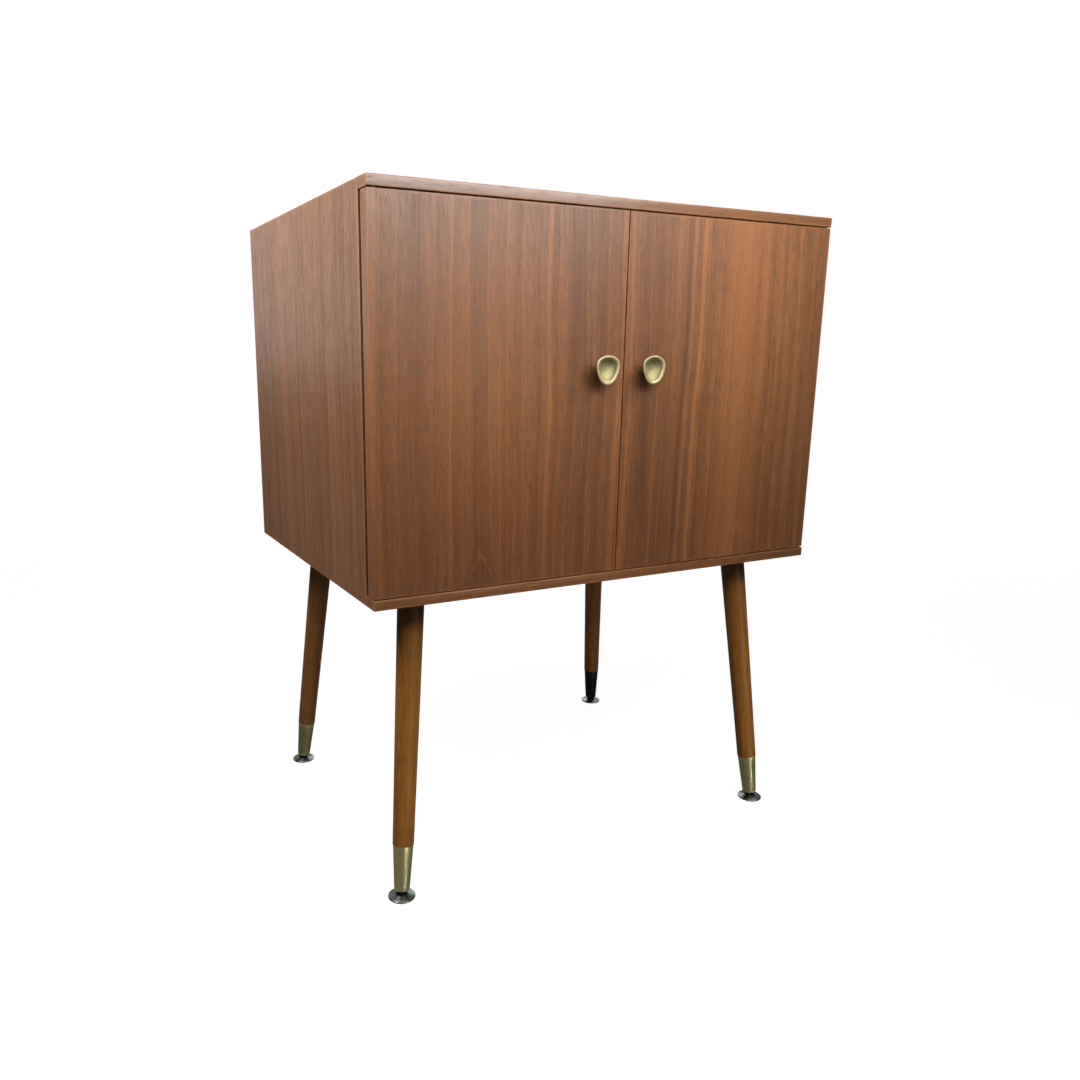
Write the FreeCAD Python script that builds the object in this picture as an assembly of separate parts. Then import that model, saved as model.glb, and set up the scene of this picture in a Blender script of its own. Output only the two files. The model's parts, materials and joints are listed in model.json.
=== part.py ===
import FreeCAD, Part

# A record cabinet: a mitred, veneered box on four splayed, turned legs. Two doors turn on knife hinges let
# into the top and bottom panels, and close on magnets beside a centre partition.
# Millimetres. +Z is up, the doors face -Y, and left is -X. The origin is on the floor, under the middle of
# the space that the cabinet and its pulls take up.

import math
import os

from FreeCAD import Placement, Rotation, Vector

# ---------------------------------------------------------------------------------------------------------
# Driving dimensions
# ---------------------------------------------------------------------------------------------------------

# The box
width = 610.0
depth = 460.0  # front edge of the top panel to the back
box_height = 427.0
floor_clearance = 357.0  # floor to the underside of the box
panel = 11.0  # thickness of the top, bottom and side panels
lipping = 3.0  # solid edge strips on boards and doors
arris = 1.2  # rounding of the front edges of the box
back_ply = 5.0
rebate = 7.0  # how far the back panel reaches behind the inner faces of the box
back_play = 0.3  # between the back panel and the edge of its rebate
spline_width = 8.0  # tongues across the mitres
spline_thickness = 3.0
spline_stop = 20.0  # from each end of a mitre to its tongue

# Partition and dividers
partition = 12.0
partition_setback = 3.0  # from the back of a door to the partition
divider = 4.0
dividers_per_side = 2
divider_setback = 40.0  # from the front edge of a side panel to a divider
groove = 3.0  # depth of the grooves that hold partition and dividers

# Doors
door_thickness = 17.0
door_setback = 0.8  # door faces behind the front edge of the top panel
door_gap = 1.4  # above and below a door
meeting_gap = 1.6  # between the two doors
side_reveal = 0.3  # door edge inside the face of the side panel
swing_margin = 2.4  # least distance from a turning door to the side panel

# Knife hinges
pivot_inset = 8.5  # pin to the outer edge of the door
leaf_length = 42.0
leaf_width = 10.0
leaf_thickness = 2.0
pin_radius = 2.2
pin_play = 0.05  # radial, in the door's leaf
pin_reach = 3.0  # pin beyond the door's leaf
pin_relief = 0.5  # round the pin, in the wood of the door
washer_radius = 4.5
thrust_play = 0.3  # between washer and door leaf
leaf_screw_spacing = 13.0

# Magnetic catches
catch_offset = 38.0  # from the partition's middle to a catch's middle
catch_length = 28.0
catch_depth = 13.0
catch_height = 16.0
catch_ear = 8.0  # screw ears at both ends
catch_ear_thickness = 3.0
magnet_length = 22.0
magnet_height = 6.0
magnet_drop = 11.0  # underside of the top panel to the magnet's middle
pole_reach = 1.0  # pole plates stand this far out of the housing
catch_gap = 0.3  # pole plates to strike plate, door closed
strike_length = 34.0
strike_height = 9.0
strike_thickness = 1.2

# Pulls
pull_height = 245.0  # underside of the box to a pull's middle
pull_spacing = 63.0  # between the middles of the two pulls
pull_reach = 18.0  # from the door to the rim
pull_half_width = 15.5
pull_half_height = 16.0
pull_base_radius = 6.0
pull_neck_radius = 4.6
pull_rim = 2.0  # thickness of the rim round the dish
dish_depth = 8.0
egg_taper = 0.25  # narrows the dish towards its lower end
egg_fullness = 0.20  # widens its upper end
egg_points = 12
pull_screw_radius = 2.0
pull_screw_grip = 6.0  # how far the screw enters the pull
pull_screw_play = 0.2  # round the screw, in the door
pull_screw_head = 4.0
pull_screw_head_height = 2.4

# Legs
splay = 8.0  # degrees
splay_heading = 50.0  # degrees, from the line of the doors to the way a leg leans
leg_inset_side = 67.0  # leg axis, at the underside, from the outer face of a side panel
leg_inset_front = 60.0  # and from the front edge of the box
leg_inset_back = 77.0  # and from its back
leg_seat = 9.0  # underside to the top of a leg, along its axis
leg_top_radius = 15.6
leg_foot_radius = 12.5  # at the rim of the ferrule
leg_top_rounding = 1.5
ferrule_length = 55.0
ferrule_rim_radius = 12.1
ferrule_foot_radius = 9.1
ferrule_wall = 0.8
ferrule_base = 1.2

# Leg plates
plate_size = 64.0
plate_corner = 8.0
plate_thickness = 2.5
plate_screw_spacing = 48.0
boss_radius = 17.0
bolt_radius = 4.0
bolt_in_leg = 26.0
bolt_below_box = 3.0  # from the underside to the end of the bolt

# Glides
ball_height = 4.0  # floor to the middle of the ball
ball_radius = 3.2
ball_play = 0.3
stem_neck_radius = 1.8
stem_collar_radius = 4.5
stem_collar = 1.0
stem_rise = 5.2  # middle of the ball to the foot of the ferrule
stem_radius = 3.0
stem_in_leg = 24.0
glide_radius = 16.0
glide_rim = 2.4
glide_shoulder = 3.8  # height of the disc where it meets its neck
glide_neck_radius = 5.6
glide_height = 6.2
glide_mouth_radius = 2.9

# Wood screws: shank radius, head radius and whole length
leaf_screw = (1.2, 2.3, 9.5)
catch_screw = (1.2, 2.3, 9.0)
strike_screw = (1.4, 2.5, 11.0)
plate_screw = (2.0, 3.9, 11.5)
back_screw = (1.5, 3.0, 16.0)
screw_sides = 8
back_screw_margin = 70.0  # from the top and bottom panels to the screws along the upright edges

# ---------------------------------------------------------------------------------------------------------
# Levels and planes that follow from them
# ---------------------------------------------------------------------------------------------------------

LEFT = -1
RIGHT = 1
FRONT = -1
BACK = 1
UPPER = 1
LOWER = -1
SIDES = {"left": LEFT, "right": RIGHT}
ENDS = {"front": FRONT, "back": BACK}

pull_overhang = pull_reach - door_setback
y_front = (pull_overhang - depth) / 2
y_back = y_front + depth
y_door = y_front + door_setback
y_door_back = y_door + door_thickness
y_pivot = y_door + door_thickness / 2
swing_radius = math.hypot(pivot_inset, door_thickness / 2)
y_side = y_pivot + swing_radius + swing_margin
y_board = y_side + lipping
y_rebate = y_back - back_ply

x_side = width / 2
x_wall = x_side - panel
x_door = x_side - side_reveal
x_meeting = meeting_gap / 2
x_pivot = x_door - pivot_inset

z_under = floor_clearance
z_board = z_under + panel
z_top = z_under + box_height
z_ceiling = z_top - panel
z_door = z_board + door_gap
z_door_top = z_ceiling - door_gap
z_pull = z_under + pull_height

bay = (x_wall - partition / 2 - dividers_per_side * divider) / (dividers_per_side + 1)


# ---------------------------------------------------------------------------------------------------------
# Shared shapes
# ---------------------------------------------------------------------------------------------------------


def block(x, y, z):
    """A box between two values of x, of y and of z, each pair in any order."""
    low = Vector(min(x), min(y), min(z))
    high = Vector(max(x), max(y), max(z))
    size = high - low
    return Part.makeBox(size.x, size.y, size.z, low)


def rod(radius, start, end):
    """A round bar from one point to another."""
    along = end - start
    return Part.makeCylinder(radius, along.Length, start, along)


def prism(outline, y_start, y_end):
    """A straight bar along Y, from points (x, z) of its section."""
    corners = [Vector(x, y_start, z) for x, z in outline]
    face = Part.Face(Part.makePolygon(corners + corners[:1]))
    return face.extrude(Vector(0, y_end - y_start, 0))


def turned(edges):
    """A solid of revolution about Z, from the edges of its half section in the XZ plane."""
    return Part.Face(Part.Wire(edges)).revolve(Vector(0, 0, 0), Vector(0, 0, 1), 360)


def line(start, end):
    """A straight edge of a half section, between two points (r, z)."""
    return Part.makeLine(Vector(start[0], 0, start[1]), Vector(end[0], 0, end[1]))


def arc(start, middle, end):
    """A round edge of a half section, through three points (r, z)."""
    return Part.Arc(*(Vector(r, 0, z) for r, z in (start, middle, end))).toShape()


def lines(points):
    """The straight edges that join points (r, z) one after another."""
    return [line(a, b) for a, b in zip(points, points[1:])]


def wood_screw(size, head, inward):
    """A countersunk screw whose head lies flush at a point, driven along a direction.

    There are many of them, so each is kept to a few flat sides, and so is the hole that it cuts.
    """
    shank_radius, head_radius, length = size
    levels = [(head_radius, 0), (shank_radius, head_radius - shank_radius), (shank_radius, length)]
    corners = []
    for radius, z in levels:
        turns = [2 * math.pi * n / screw_sides for n in range(screw_sides)]
        corners.append([Vector(radius * math.cos(turn), radius * math.sin(turn), z) for turn in turns])
    rings = [corners[0], corners[-1]]
    for lower, upper in zip(corners, corners[1:]):
        for n in range(screw_sides):
            after = (n + 1) % screw_sides
            rings.append([lower[n], lower[after], upper[after], upper[n]])
    faces = [Part.Face(Part.makePolygon(ring + ring[:1])) for ring in rings]
    solid = Part.Solid(Part.Shell(faces))
    return placed(solid, head, inward)


def placed(shape, origin, up):
    """A shape modelled about Z, moved so that its origin and its Z axis lie as given."""
    shape.Placement = Placement(origin, Rotation(Vector(0, 0, 1), up))
    return shape


def fitted(board, pieces):
    """A board with room cut for each piece that is let into it."""
    for piece in pieces:
        board = board.cut(piece)
    return board.removeSplitter()


def rounded(shape, radius, wanted):
    """A shape with those of its edges rounded whose middle passes a test."""
    edges = [edge for edge in shape.Edges if wanted(edge.CenterOfMass)]
    return shape.makeFillet(radius, edges)


# ---------------------------------------------------------------------------------------------------------
# Knife hinges
# ---------------------------------------------------------------------------------------------------------


def leaf_blank(side, z_start, z_end):
    """A hinge leaf with round ends, from the pin towards the middle of the cabinet."""
    run = leaf_length - leaf_width
    start = Vector(side * x_pivot, y_pivot, z_start)
    rise = Vector(0, 0, z_end - z_start)
    end = start - Vector(side * run, 0, 0)
    half = leaf_width / 2
    bar = block((start.x, end.x), (y_pivot - half, y_pivot + half), (z_start, z_end))
    return bar.fuse([rod(half, start, start + rise), rod(half, end, end + rise)]).removeSplitter()


def leaf_screws(side, z_face, up):
    """The two screws of a leaf, driven from its face along up."""
    heads = [Vector(side * (x_pivot - n * leaf_screw_spacing), y_pivot, z_face) for n in (1, 2)]
    return [wood_screw(leaf_screw, head, Vector(0, 0, up)) for head in heads]


class KnifeHinge:
    """One knife hinge: a leaf in the box, with a pin and a washer, and a leaf in the edge of the door."""

    def __init__(self, side, level):
        z_face = z_ceiling if level == UPPER else z_board
        z_edge = z_face - level * door_gap
        z_inner = z_edge - level * leaf_thickness
        z_tip = z_inner - level * pin_reach

        def on_pin(z):
            return Vector(side * x_pivot, y_pivot, z)

        z_outer = z_face + level * leaf_thickness
        z_washer = z_face - level * (door_gap - thrust_play)
        self.pin = rod(pin_radius, on_pin(z_outer), on_pin(z_tip))
        self.carcass_screws = leaf_screws(side, z_face, level)
        self.carcass_leaf = fitted(leaf_blank(side, z_face, z_outer), [self.pin] + self.carcass_screws)
        self.washer = rod(washer_radius, on_pin(z_face), on_pin(z_washer)).cut(self.pin)
        self.door_screws = leaf_screws(side, z_edge, -level)
        self.bore = rod(pin_radius + pin_play, on_pin(z_edge), on_pin(z_inner))
        self.door_leaf = fitted(leaf_blank(side, z_edge, z_inner), [self.bore] + self.door_screws)
        z_relief = z_tip - level * pin_relief
        relief = rod(pin_radius + pin_relief, on_pin(z_inner), on_pin(z_relief))
        self.let_into_box = [leaf_blank(side, z_face, z_outer)] + self.carcass_screws
        self.let_into_door = [leaf_blank(side, z_edge, z_inner), relief] + self.door_screws


# ---------------------------------------------------------------------------------------------------------
# Magnetic catches
# ---------------------------------------------------------------------------------------------------------


class Catch:
    """A magnetic catch under the top panel, and the strike plate in the back of the door before it."""

    def __init__(self, side):
        x = side * catch_offset
        z_middle = z_ceiling - magnet_drop
        y_pole = y_door_back + catch_gap
        y_face = y_pole + pole_reach
        y_end = y_face + catch_depth
        y_middle = (y_face + y_end) / 2
        half = catch_length / 2
        reach = half + catch_ear
        body = block((x - half, x + half), (y_face, y_end), (z_ceiling - catch_height, z_ceiling))
        ears = block((x - reach, x + reach), (y_face, y_end), (z_ceiling - catch_ear_thickness, z_ceiling))
        self.magnet = block(
            (x - magnet_length / 2, x + magnet_length / 2),
            (y_pole, y_middle),
            (z_middle - magnet_height / 2, z_middle + magnet_height / 2),
        )
        self.screws = [
            wood_screw(
                catch_screw,
                Vector(x + end * (half + catch_ear / 2), y_middle, z_ceiling - catch_ear_thickness),
                Vector(0, 0, 1),
            )
            for end in (LEFT, RIGHT)
        ]
        self.housing = fitted(body.fuse(ears), [self.magnet] + self.screws)
        self.strike_screw = wood_screw(strike_screw, Vector(x, y_door_back, z_middle), Vector(0, -1, 0))
        self.strike_blank = block(
            (x - strike_length / 2, x + strike_length / 2),
            (y_door_back - strike_thickness, y_door_back),
            (z_middle - strike_height / 2, z_middle + strike_height / 2),
        )
        self.strike = self.strike_blank.cut(self.strike_screw)


# ---------------------------------------------------------------------------------------------------------
# Pulls
# ---------------------------------------------------------------------------------------------------------


def egg(reach, half_width, half_height, taper, fullness):
    """A closed egg-shaped wire parallel to the door, at a distance from it, broad end up."""
    points = []
    for n in range(egg_points):
        turn = 2 * math.pi * n / egg_points
        rise = math.sin(turn)
        x = half_width * math.cos(turn) * (1 + taper * rise + fullness * rise * rise)
        points.append(Vector(x, -reach, half_height * rise))
    curve = Part.BSplineCurve()
    curve.interpolate(points, PeriodicFlag=True)
    return Part.Wire(curve.toShape())


def flared(sections):
    """A smooth solid through egg-shaped sections.

    Each section has its distance from the door, its size from 0 at the neck to 1 at the rim, and how far it
    lies inside an outline of that size.
    """
    wires = []
    for reach, size, inset in sections:
        half_width = pull_neck_radius + size * (pull_half_width - pull_neck_radius) - inset
        half_height = pull_neck_radius + size * (pull_half_height - pull_neck_radius) - inset
        wires.append(egg(reach, half_width, half_height, size * egg_taper, size * egg_fullness))
    return Part.makeLoft(wires, True, False)


def pull_blank():
    """The cast outside of a pull: a round base, a waist, and a flare that rolls over into the rim."""
    swell = pull_neck_radius - pull_base_radius
    outline = [(0.00, 0.0, swell), (0.26, 0.0, 0.0), (0.50, 0.2, 0.0), (0.75, 0.7, 0.0), (0.94, 1.0, 0.0)]
    outline += [(1.00, 1.0, pull_rim * 0.45)]
    return flared([(at * pull_reach, size, inset) for at, size, inset in outline])


def dish():
    """The hollow of a pull's dish, open past its rim."""
    middle = (pull_reach - 0.6 * dish_depth, 0.67, pull_rim)
    bottom = (pull_reach - dish_depth, 0.02, pull_rim)
    return flared([(pull_reach + pull_rim, 1.0, pull_rim * 0.6), (pull_reach, 1.0, pull_rim), middle, bottom])


def pull_screw(side):
    """The machine screw that holds a pull, from the back of the door into the neck."""
    axis = Vector(side * pull_spacing / 2, y_door_back, z_pull)
    head = rod(pull_screw_head, axis + Vector(0, pull_screw_head_height, 0), axis)
    return head.fuse(rod(pull_screw_radius, axis, Vector(axis.x, y_door - pull_screw_grip, z_pull)))


def pull(side, screw):
    """One pull on its door, threaded for its screw."""
    body = pull_blank().cut(dish())
    body.translate(Vector(side * pull_spacing / 2, y_door, z_pull))
    return body.cut(screw)


# ---------------------------------------------------------------------------------------------------------
# Doors
# ---------------------------------------------------------------------------------------------------------


def door_lippings(side):
    """The four solid strips round a door: two full-height uprights, and two rails between them."""
    y = (y_door, y_door_back)
    z = (z_door, z_door_top)
    outer = block((side * (x_door - lipping), side * x_door), y, z)
    inner = block((side * x_meeting, side * (x_meeting + lipping)), y, z)
    between = (side * (x_meeting + lipping), side * (x_door - lipping))
    lower = block(between, y, (z_door, z_door + lipping))
    upper = block(between, y, (z_door_top - lipping, z_door_top))
    return [outer, inner, lower, upper]


def build_door(name, side, hinges, catch):
    """All pieces of one door, by node name."""
    screw = pull_screw(side)
    across = (side * (x_meeting + lipping), side * (x_door - lipping))
    core = block(across, (y_door, y_door_back), (z_door + lipping, z_door_top - lipping))
    axis = Vector(side * pull_spacing / 2, 0, z_pull)
    passage = rod(
        pull_screw_radius + pull_screw_play,
        axis + Vector(0, y_door, 0),
        axis + Vector(0, y_door_back, 0),
    )
    let_in = [piece for hinge in hinges for piece in hinge.let_into_door]
    core = fitted(core, let_in + [catch.strike_blank, catch.strike_screw, passage])
    strips = [fitted(strip, let_in) for strip in door_lippings(side)]
    screws = [piece for hinge in hinges for piece in hinge.door_screws]
    return {
        f"{name}_door_panel": core,
        f"{name}_door_lippings": Part.makeCompound(strips),
        f"{name}_door_hinge_leaves": Part.makeCompound([hinge.door_leaf for hinge in hinges]),
        f"{name}_door_screws": Part.makeCompound(screws + [catch.strike_screw]),
        f"{name}_strike_plate": catch.strike,
        f"{name}_pull": pull(side, screw),
        f"{name}_pull_screw": screw,
    }


# ---------------------------------------------------------------------------------------------------------
# Box
# ---------------------------------------------------------------------------------------------------------


def partition_board():
    """The upright board in the middle, behind its own lipping."""
    half = partition / 2
    y_start = y_door_back + partition_setback + lipping
    return block((-half, half), (y_start, y_rebate), (z_board - groove, z_ceiling + groove))


def partition_lipping():
    """The solid strip on the partition's front edge."""
    half = partition / 2
    y_start = y_door_back + partition_setback
    return block((-half, half), (y_start, y_start + lipping), (z_board, z_ceiling))


def record_divider(side, place):
    """A thin upright sheet in its grooves, counted outwards from the partition."""
    inner = side * (partition / 2 + (place + 1) * bay + place * divider)
    outer = inner + side * divider
    return block((inner, outer), (y_side + divider_setback, y_rebate), (z_board - groove, z_ceiling + groove))


def back_panel():
    """The plywood back, a little smaller than its rebate."""
    half = x_wall + rebate - back_play
    return block(
        (-half, half),
        (y_rebate, y_back),
        (z_board - rebate + back_play, z_ceiling + rebate - back_play),
    )


def rebate_space():
    """The room that the rebates of the four outer panels make for the back panel."""
    half = x_wall + rebate
    return block((-half, half), (y_rebate, y_back), (z_board - rebate, z_ceiling + rebate))


def back_panel_screws():
    """Screws round the back, into the panels behind the rebate: one above and below each bay, two a side."""
    bay_middles = [partition / 2 + bay / 2 + n * (bay + divider) for n in range(dividers_per_side + 1)]
    edges = (z_board - rebate / 2, z_ceiling + rebate / 2)
    heads = [(side * x, z) for side in (LEFT, RIGHT) for x in bay_middles for z in edges]
    heights = (z_board + back_screw_margin, z_ceiling - back_screw_margin)
    heads += [(side * (x_wall + rebate / 2), z) for side in (LEFT, RIGHT) for z in heights]
    return [wood_screw(back_screw, Vector(x, y_back, z), Vector(0, -1, 0)) for x, z in heads]


def mitre_spline(side, level):
    """The tongue across one mitre, square to the joint and stopped short of both ends."""
    z_outer = z_top if level == UPPER else z_under
    middle = Vector(side * (x_side - panel / 2), 0, z_outer - level * panel / 2)
    across = Vector(side, 0, -level).normalize() * (spline_width / 2)
    along = Vector(side, 0, level).normalize() * (spline_thickness / 2)
    corners = [middle + across + along, middle - across + along, middle - across - along, middle + across - along]
    outline = [(corner.x, corner.z) for corner in corners]
    return prism(outline, y_board + spline_stop, y_rebate - spline_stop)


def level_panel(level):
    """The top or the bottom panel: mitred at the side panels, square in front of them."""
    z_inner, z_outer = (z_ceiling, z_top) if level == UPPER else (z_board, z_under)
    mitred = prism([(-x_wall, z_inner), (x_wall, z_inner), (x_side, z_outer), (-x_side, z_outer)], y_board, y_back)
    square = block((-x_side, x_side), (y_front + lipping, y_board), (z_inner, z_outer))
    return mitred.fuse(square)


def side_panel(side):
    """A side panel, mitred at both ends."""
    outline = [(side * x_wall, z_board), (side * x_side, z_under), (side * x_side, z_top), (side * x_wall, z_ceiling)]
    return prism(outline, y_board, y_back)


def side_lipping(side):
    """The solid strip on the front edge of a side panel."""
    return block((side * x_wall, side * x_side), (y_side, y_board), (z_board, z_ceiling))


def front_lipping(level):
    """The solid strip along the front edge of the top or bottom panel, its two long edges rounded."""
    z_inner, z_outer = (z_ceiling, z_top) if level == UPPER else (z_board, z_under)
    strip = block((-x_side, x_side), (y_front, y_front + lipping), (z_inner, z_outer))
    return rounded(strip, arris, lambda middle: middle.y < y_front + 0.01 and abs(middle.x) < 0.01)


def build_box(hinges, catches, plate_screws):
    """All wooden pieces of the box and what holds them together, by node name."""
    splines = {(side, level): mitre_spline(side, level) for side in (LEFT, RIGHT) for level in (LOWER, UPPER)}
    dividers = {
        f"{name}_{place}_divider": record_divider(side, count)
        for name, side in SIDES.items()
        for count, place in enumerate(("inner", "outer"))
    }
    screws = back_panel_screws()
    standing = list(dividers.values()) + [partition_board()]
    shared = [rebate_space()] + screws + standing + list(splines.values())
    catch_screws = [screw for catch in catches.values() for screw in catch.screws]
    pieces = {}
    for name, level in (("top", UPPER), ("bottom", LOWER)):
        own = [piece for (_, at), hinge in hinges.items() if at == level for piece in hinge.let_into_box]
        fastened = catch_screws if level == UPPER else plate_screws
        pieces[f"{name}_panel"] = fitted(level_panel(level), shared + own + fastened)
        pieces[f"{name}_front_lipping"] = front_lipping(level)
    for name, side in SIDES.items():
        pieces[f"{name}_side_panel"] = fitted(side_panel(side), shared)
        pieces[f"{name}_side_lipping"] = side_lipping(side)
    pieces["mitre_splines"] = Part.makeCompound(list(splines.values()))
    pieces["back_panel"] = fitted(back_panel(), screws)
    pieces["back_panel_screws"] = Part.makeCompound(screws)
    pieces["centre_partition"] = partition_board()
    pieces["centre_partition_lipping"] = partition_lipping()
    pieces.update(dividers)
    return pieces


def build_fittings(hinges, catches):
    """Hinge and catch pieces that stay on the box, by node name."""
    carcass_screws = [screw for hinge in hinges.values() for screw in hinge.carcass_screws]
    pieces = {
        "hinge_pins": Part.makeCompound([hinge.pin for hinge in hinges.values()]),
        "hinge_washers": Part.makeCompound([hinge.washer for hinge in hinges.values()]),
        "carcass_leaf_screws": Part.makeCompound(carcass_screws),
        "catch_screws": Part.makeCompound([screw for catch in catches.values() for screw in catch.screws]),
    }
    for label, level in (("upper", UPPER), ("lower", LOWER)):
        leaves = [hinges[side, level].carcass_leaf for side in (LEFT, RIGHT)]
        pieces[f"{label}_carcass_leaves"] = Part.makeCompound(leaves)
    for name, side in SIDES.items():
        pieces[f"{name}_catch_housing"] = catches[side].housing
        pieces[f"{name}_catch_magnet"] = catches[side].magnet
    return pieces


# ---------------------------------------------------------------------------------------------------------
# Legs, modelled upright with the origin where the leg's axis meets the underside of the box
# ---------------------------------------------------------------------------------------------------------

cos_splay = math.cos(math.radians(splay))
axis_to_ball = (floor_clearance - ball_height) / cos_splay
s_ball = -axis_to_ball
s_foot = s_ball + stem_rise
s_rim = s_foot + ferrule_length


def leg_axis(side, end):
    """Where a leg's axis meets the underside, and its direction, upwards."""
    origin = Vector(side * (x_side - leg_inset_side), y_front + leg_inset_front, z_under)
    if end == BACK:
        origin.y = y_back - leg_inset_back
    heading = math.radians(splay_heading)
    outwards = Vector(side * math.cos(heading), end * math.sin(heading), 0)
    return origin, Vector(0, 0, cos_splay) - outwards * math.sin(math.radians(splay))


def ferrule():
    """The tapered metal cup on a leg's end, with a hole for the glide's stem."""
    outer_foot = (ferrule_foot_radius, s_foot)
    inner_foot = (ferrule_foot_radius - ferrule_wall, s_foot + ferrule_base)
    inner_rim = (ferrule_rim_radius - ferrule_wall, s_rim)
    half_section = [(stem_radius, s_foot), outer_foot, (ferrule_rim_radius, s_rim), inner_rim, inner_foot]
    half_section += [(stem_radius, s_foot + ferrule_base), (stem_radius, s_foot)]
    return turned(lines(half_section))


def leg():
    """A turned leg: tapered, with its end turned down to fill the ferrule and bored for bolt and stem."""
    top = -leg_seat
    half_section = [(0, s_foot + ferrule_base), (ferrule_foot_radius - ferrule_wall, s_foot + ferrule_base)]
    half_section += [(ferrule_rim_radius - ferrule_wall, s_rim), (leg_foot_radius, s_rim)]
    half_section += [(leg_top_radius, top - leg_top_rounding), (leg_top_radius - leg_top_rounding, top)]
    half_section += [(0, top), (0, s_foot + ferrule_base)]
    return fitted(turned(lines(half_section)), [hanger_bolt(), glide_stem()])


def hanger_bolt():
    """The stud that joins a leg to its plate."""
    return rod(bolt_radius, Vector(0, 0, -leg_seat - bolt_in_leg), Vector(0, 0, -bolt_below_box))


def glide_stem():
    """A glide's stem: a ball, a neck, a collar under the ferrule, and a threaded shank in the leg."""
    bottom = math.sqrt(ball_radius**2 - stem_neck_radius**2)
    collar = s_foot - stem_collar
    pole = (0, s_ball - ball_radius)
    ball = arc(pole, (ball_radius, s_ball), (stem_neck_radius, s_ball + bottom))
    half_section = [(stem_neck_radius, s_ball + bottom), (stem_neck_radius, collar), (stem_collar_radius, collar)]
    half_section += [(stem_collar_radius, s_foot), (stem_radius, s_foot), (stem_radius, s_foot + stem_in_leg)]
    half_section += [(0, s_foot + stem_in_leg), pole]
    return turned([ball] + lines(half_section))


def glide_base():
    """The disc that stands on the floor, with a neck that holds the ball. Its origin is the ball's middle."""
    floor = -ball_height
    socket = ball_radius + ball_play
    lip = math.sqrt(socket**2 - glide_mouth_radius**2)
    crown = floor + glide_height
    half_section = [(0, floor), (glide_radius, floor), (glide_radius, floor + glide_rim)]
    half_section += [(glide_neck_radius, floor + glide_shoulder), (glide_neck_radius, crown)]
    half_section += [(glide_mouth_radius, crown), (glide_mouth_radius, lip), (socket, lip)]
    half_section += [(socket, -socket), (0, -socket), (0, floor)]
    return turned(lines(half_section))


def plate_screws_at(side, end):
    """The four screws of a leg plate."""
    origin, _ = leg_axis(side, end)
    reach = plate_screw_spacing / 2
    heads = [origin + Vector(x, y, -plate_thickness) for x in (-reach, reach) for y in (-reach, reach)]
    return [wood_screw(plate_screw, head, Vector(0, 0, 1)) for head in heads]


def leg_plate(side, end, bolt, screws):
    """A flat plate with a slanted boss that is threaded for the hanger bolt."""
    origin, up = leg_axis(side, end)
    half = plate_size / 2
    z_lower = z_under - plate_thickness
    sheet = block((origin.x - half, origin.x + half), (origin.y - half, origin.y + half), (z_lower, z_under))
    upright = [edge for edge in sheet.Edges if abs(edge.CenterOfMass.z - (z_lower + z_under) / 2) < 0.01]
    sheet = sheet.makeFillet(plate_corner, upright)
    boss = placed(rod(boss_radius, Vector(0, 0, -leg_seat), Vector(0, 0, leg_seat)), origin, up)
    below = block((origin.x - half, origin.x + half), (origin.y - half, origin.y + half), (0, z_under))
    return fitted(sheet.fuse(boss.common(below)), [bolt] + screws)


def build_legs(plate_screws):
    """All pieces of the four legs, by node name."""
    pieces = {}
    bolts = []
    stems = []
    for end_name, end in ENDS.items():
        for side_name, side in SIDES.items():
            name = f"{end_name}_{side_name}"
            origin, up = leg_axis(side, end)
            bolt = placed(hanger_bolt(), origin, up)
            bolts.append(bolt)
            stems.append(placed(glide_stem(), origin, up))
            pieces[f"{name}_leg"] = placed(leg(), origin, up)
            pieces[f"{name}_ferrule"] = placed(ferrule(), origin, up)
            pieces[f"{name}_leg_plate"] = leg_plate(side, end, bolt, plate_screws[side, end])
            base = glide_base()
            base.translate(origin - up * axis_to_ball)
            pieces[f"{name}_glide_base"] = base
    pieces["hanger_bolts"] = Part.makeCompound(bolts)
    pieces["glide_stems"] = Part.makeCompound(stems)
    return pieces


# ---------------------------------------------------------------------------------------------------------
# The whole cabinet
# ---------------------------------------------------------------------------------------------------------


def build():
    """Every piece of the cabinet, by node name."""
    hinges = {(side, level): KnifeHinge(side, level) for side in (LEFT, RIGHT) for level in (LOWER, UPPER)}
    catches = {side: Catch(side) for side in (LEFT, RIGHT)}
    plate_screws = {(side, end): plate_screws_at(side, end) for side in (LEFT, RIGHT) for end in (FRONT, BACK)}
    all_plate_screws = [screw for group in plate_screws.values() for screw in group]
    pieces = build_box(hinges, catches, all_plate_screws)
    pieces.update(build_fittings(hinges, catches))
    pieces.update(build_legs(plate_screws))
    pieces["leg_plate_screws"] = Part.makeCompound(all_plate_screws)
    for name, side in SIDES.items():
        own = [hinges[side, level] for level in (UPPER, LOWER)]
        pieces.update(build_door(name, side, own, catches[side]))
    return pieces


os.makedirs("parts", exist_ok=True)
for node, shape in build().items():
    if not shape.isValid():
        raise ValueError(f"{node} is not a valid shape")
    shape.exportStep(f"parts/{node}.step")
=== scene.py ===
"""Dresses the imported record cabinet: oiled walnut, cast and spun brass, steel, a studio and a camera.

Metres, in the frame of the solids: +Z is up, the doors face -Y, and left is -X.
"""

import json
import logging
import math
from dataclasses import dataclass, field, replace
from enum import Enum
from typing import Any, Iterable, Mapping, Sequence, Union

import bmesh
import bpy
from mathutils import Matrix, Vector

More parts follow.
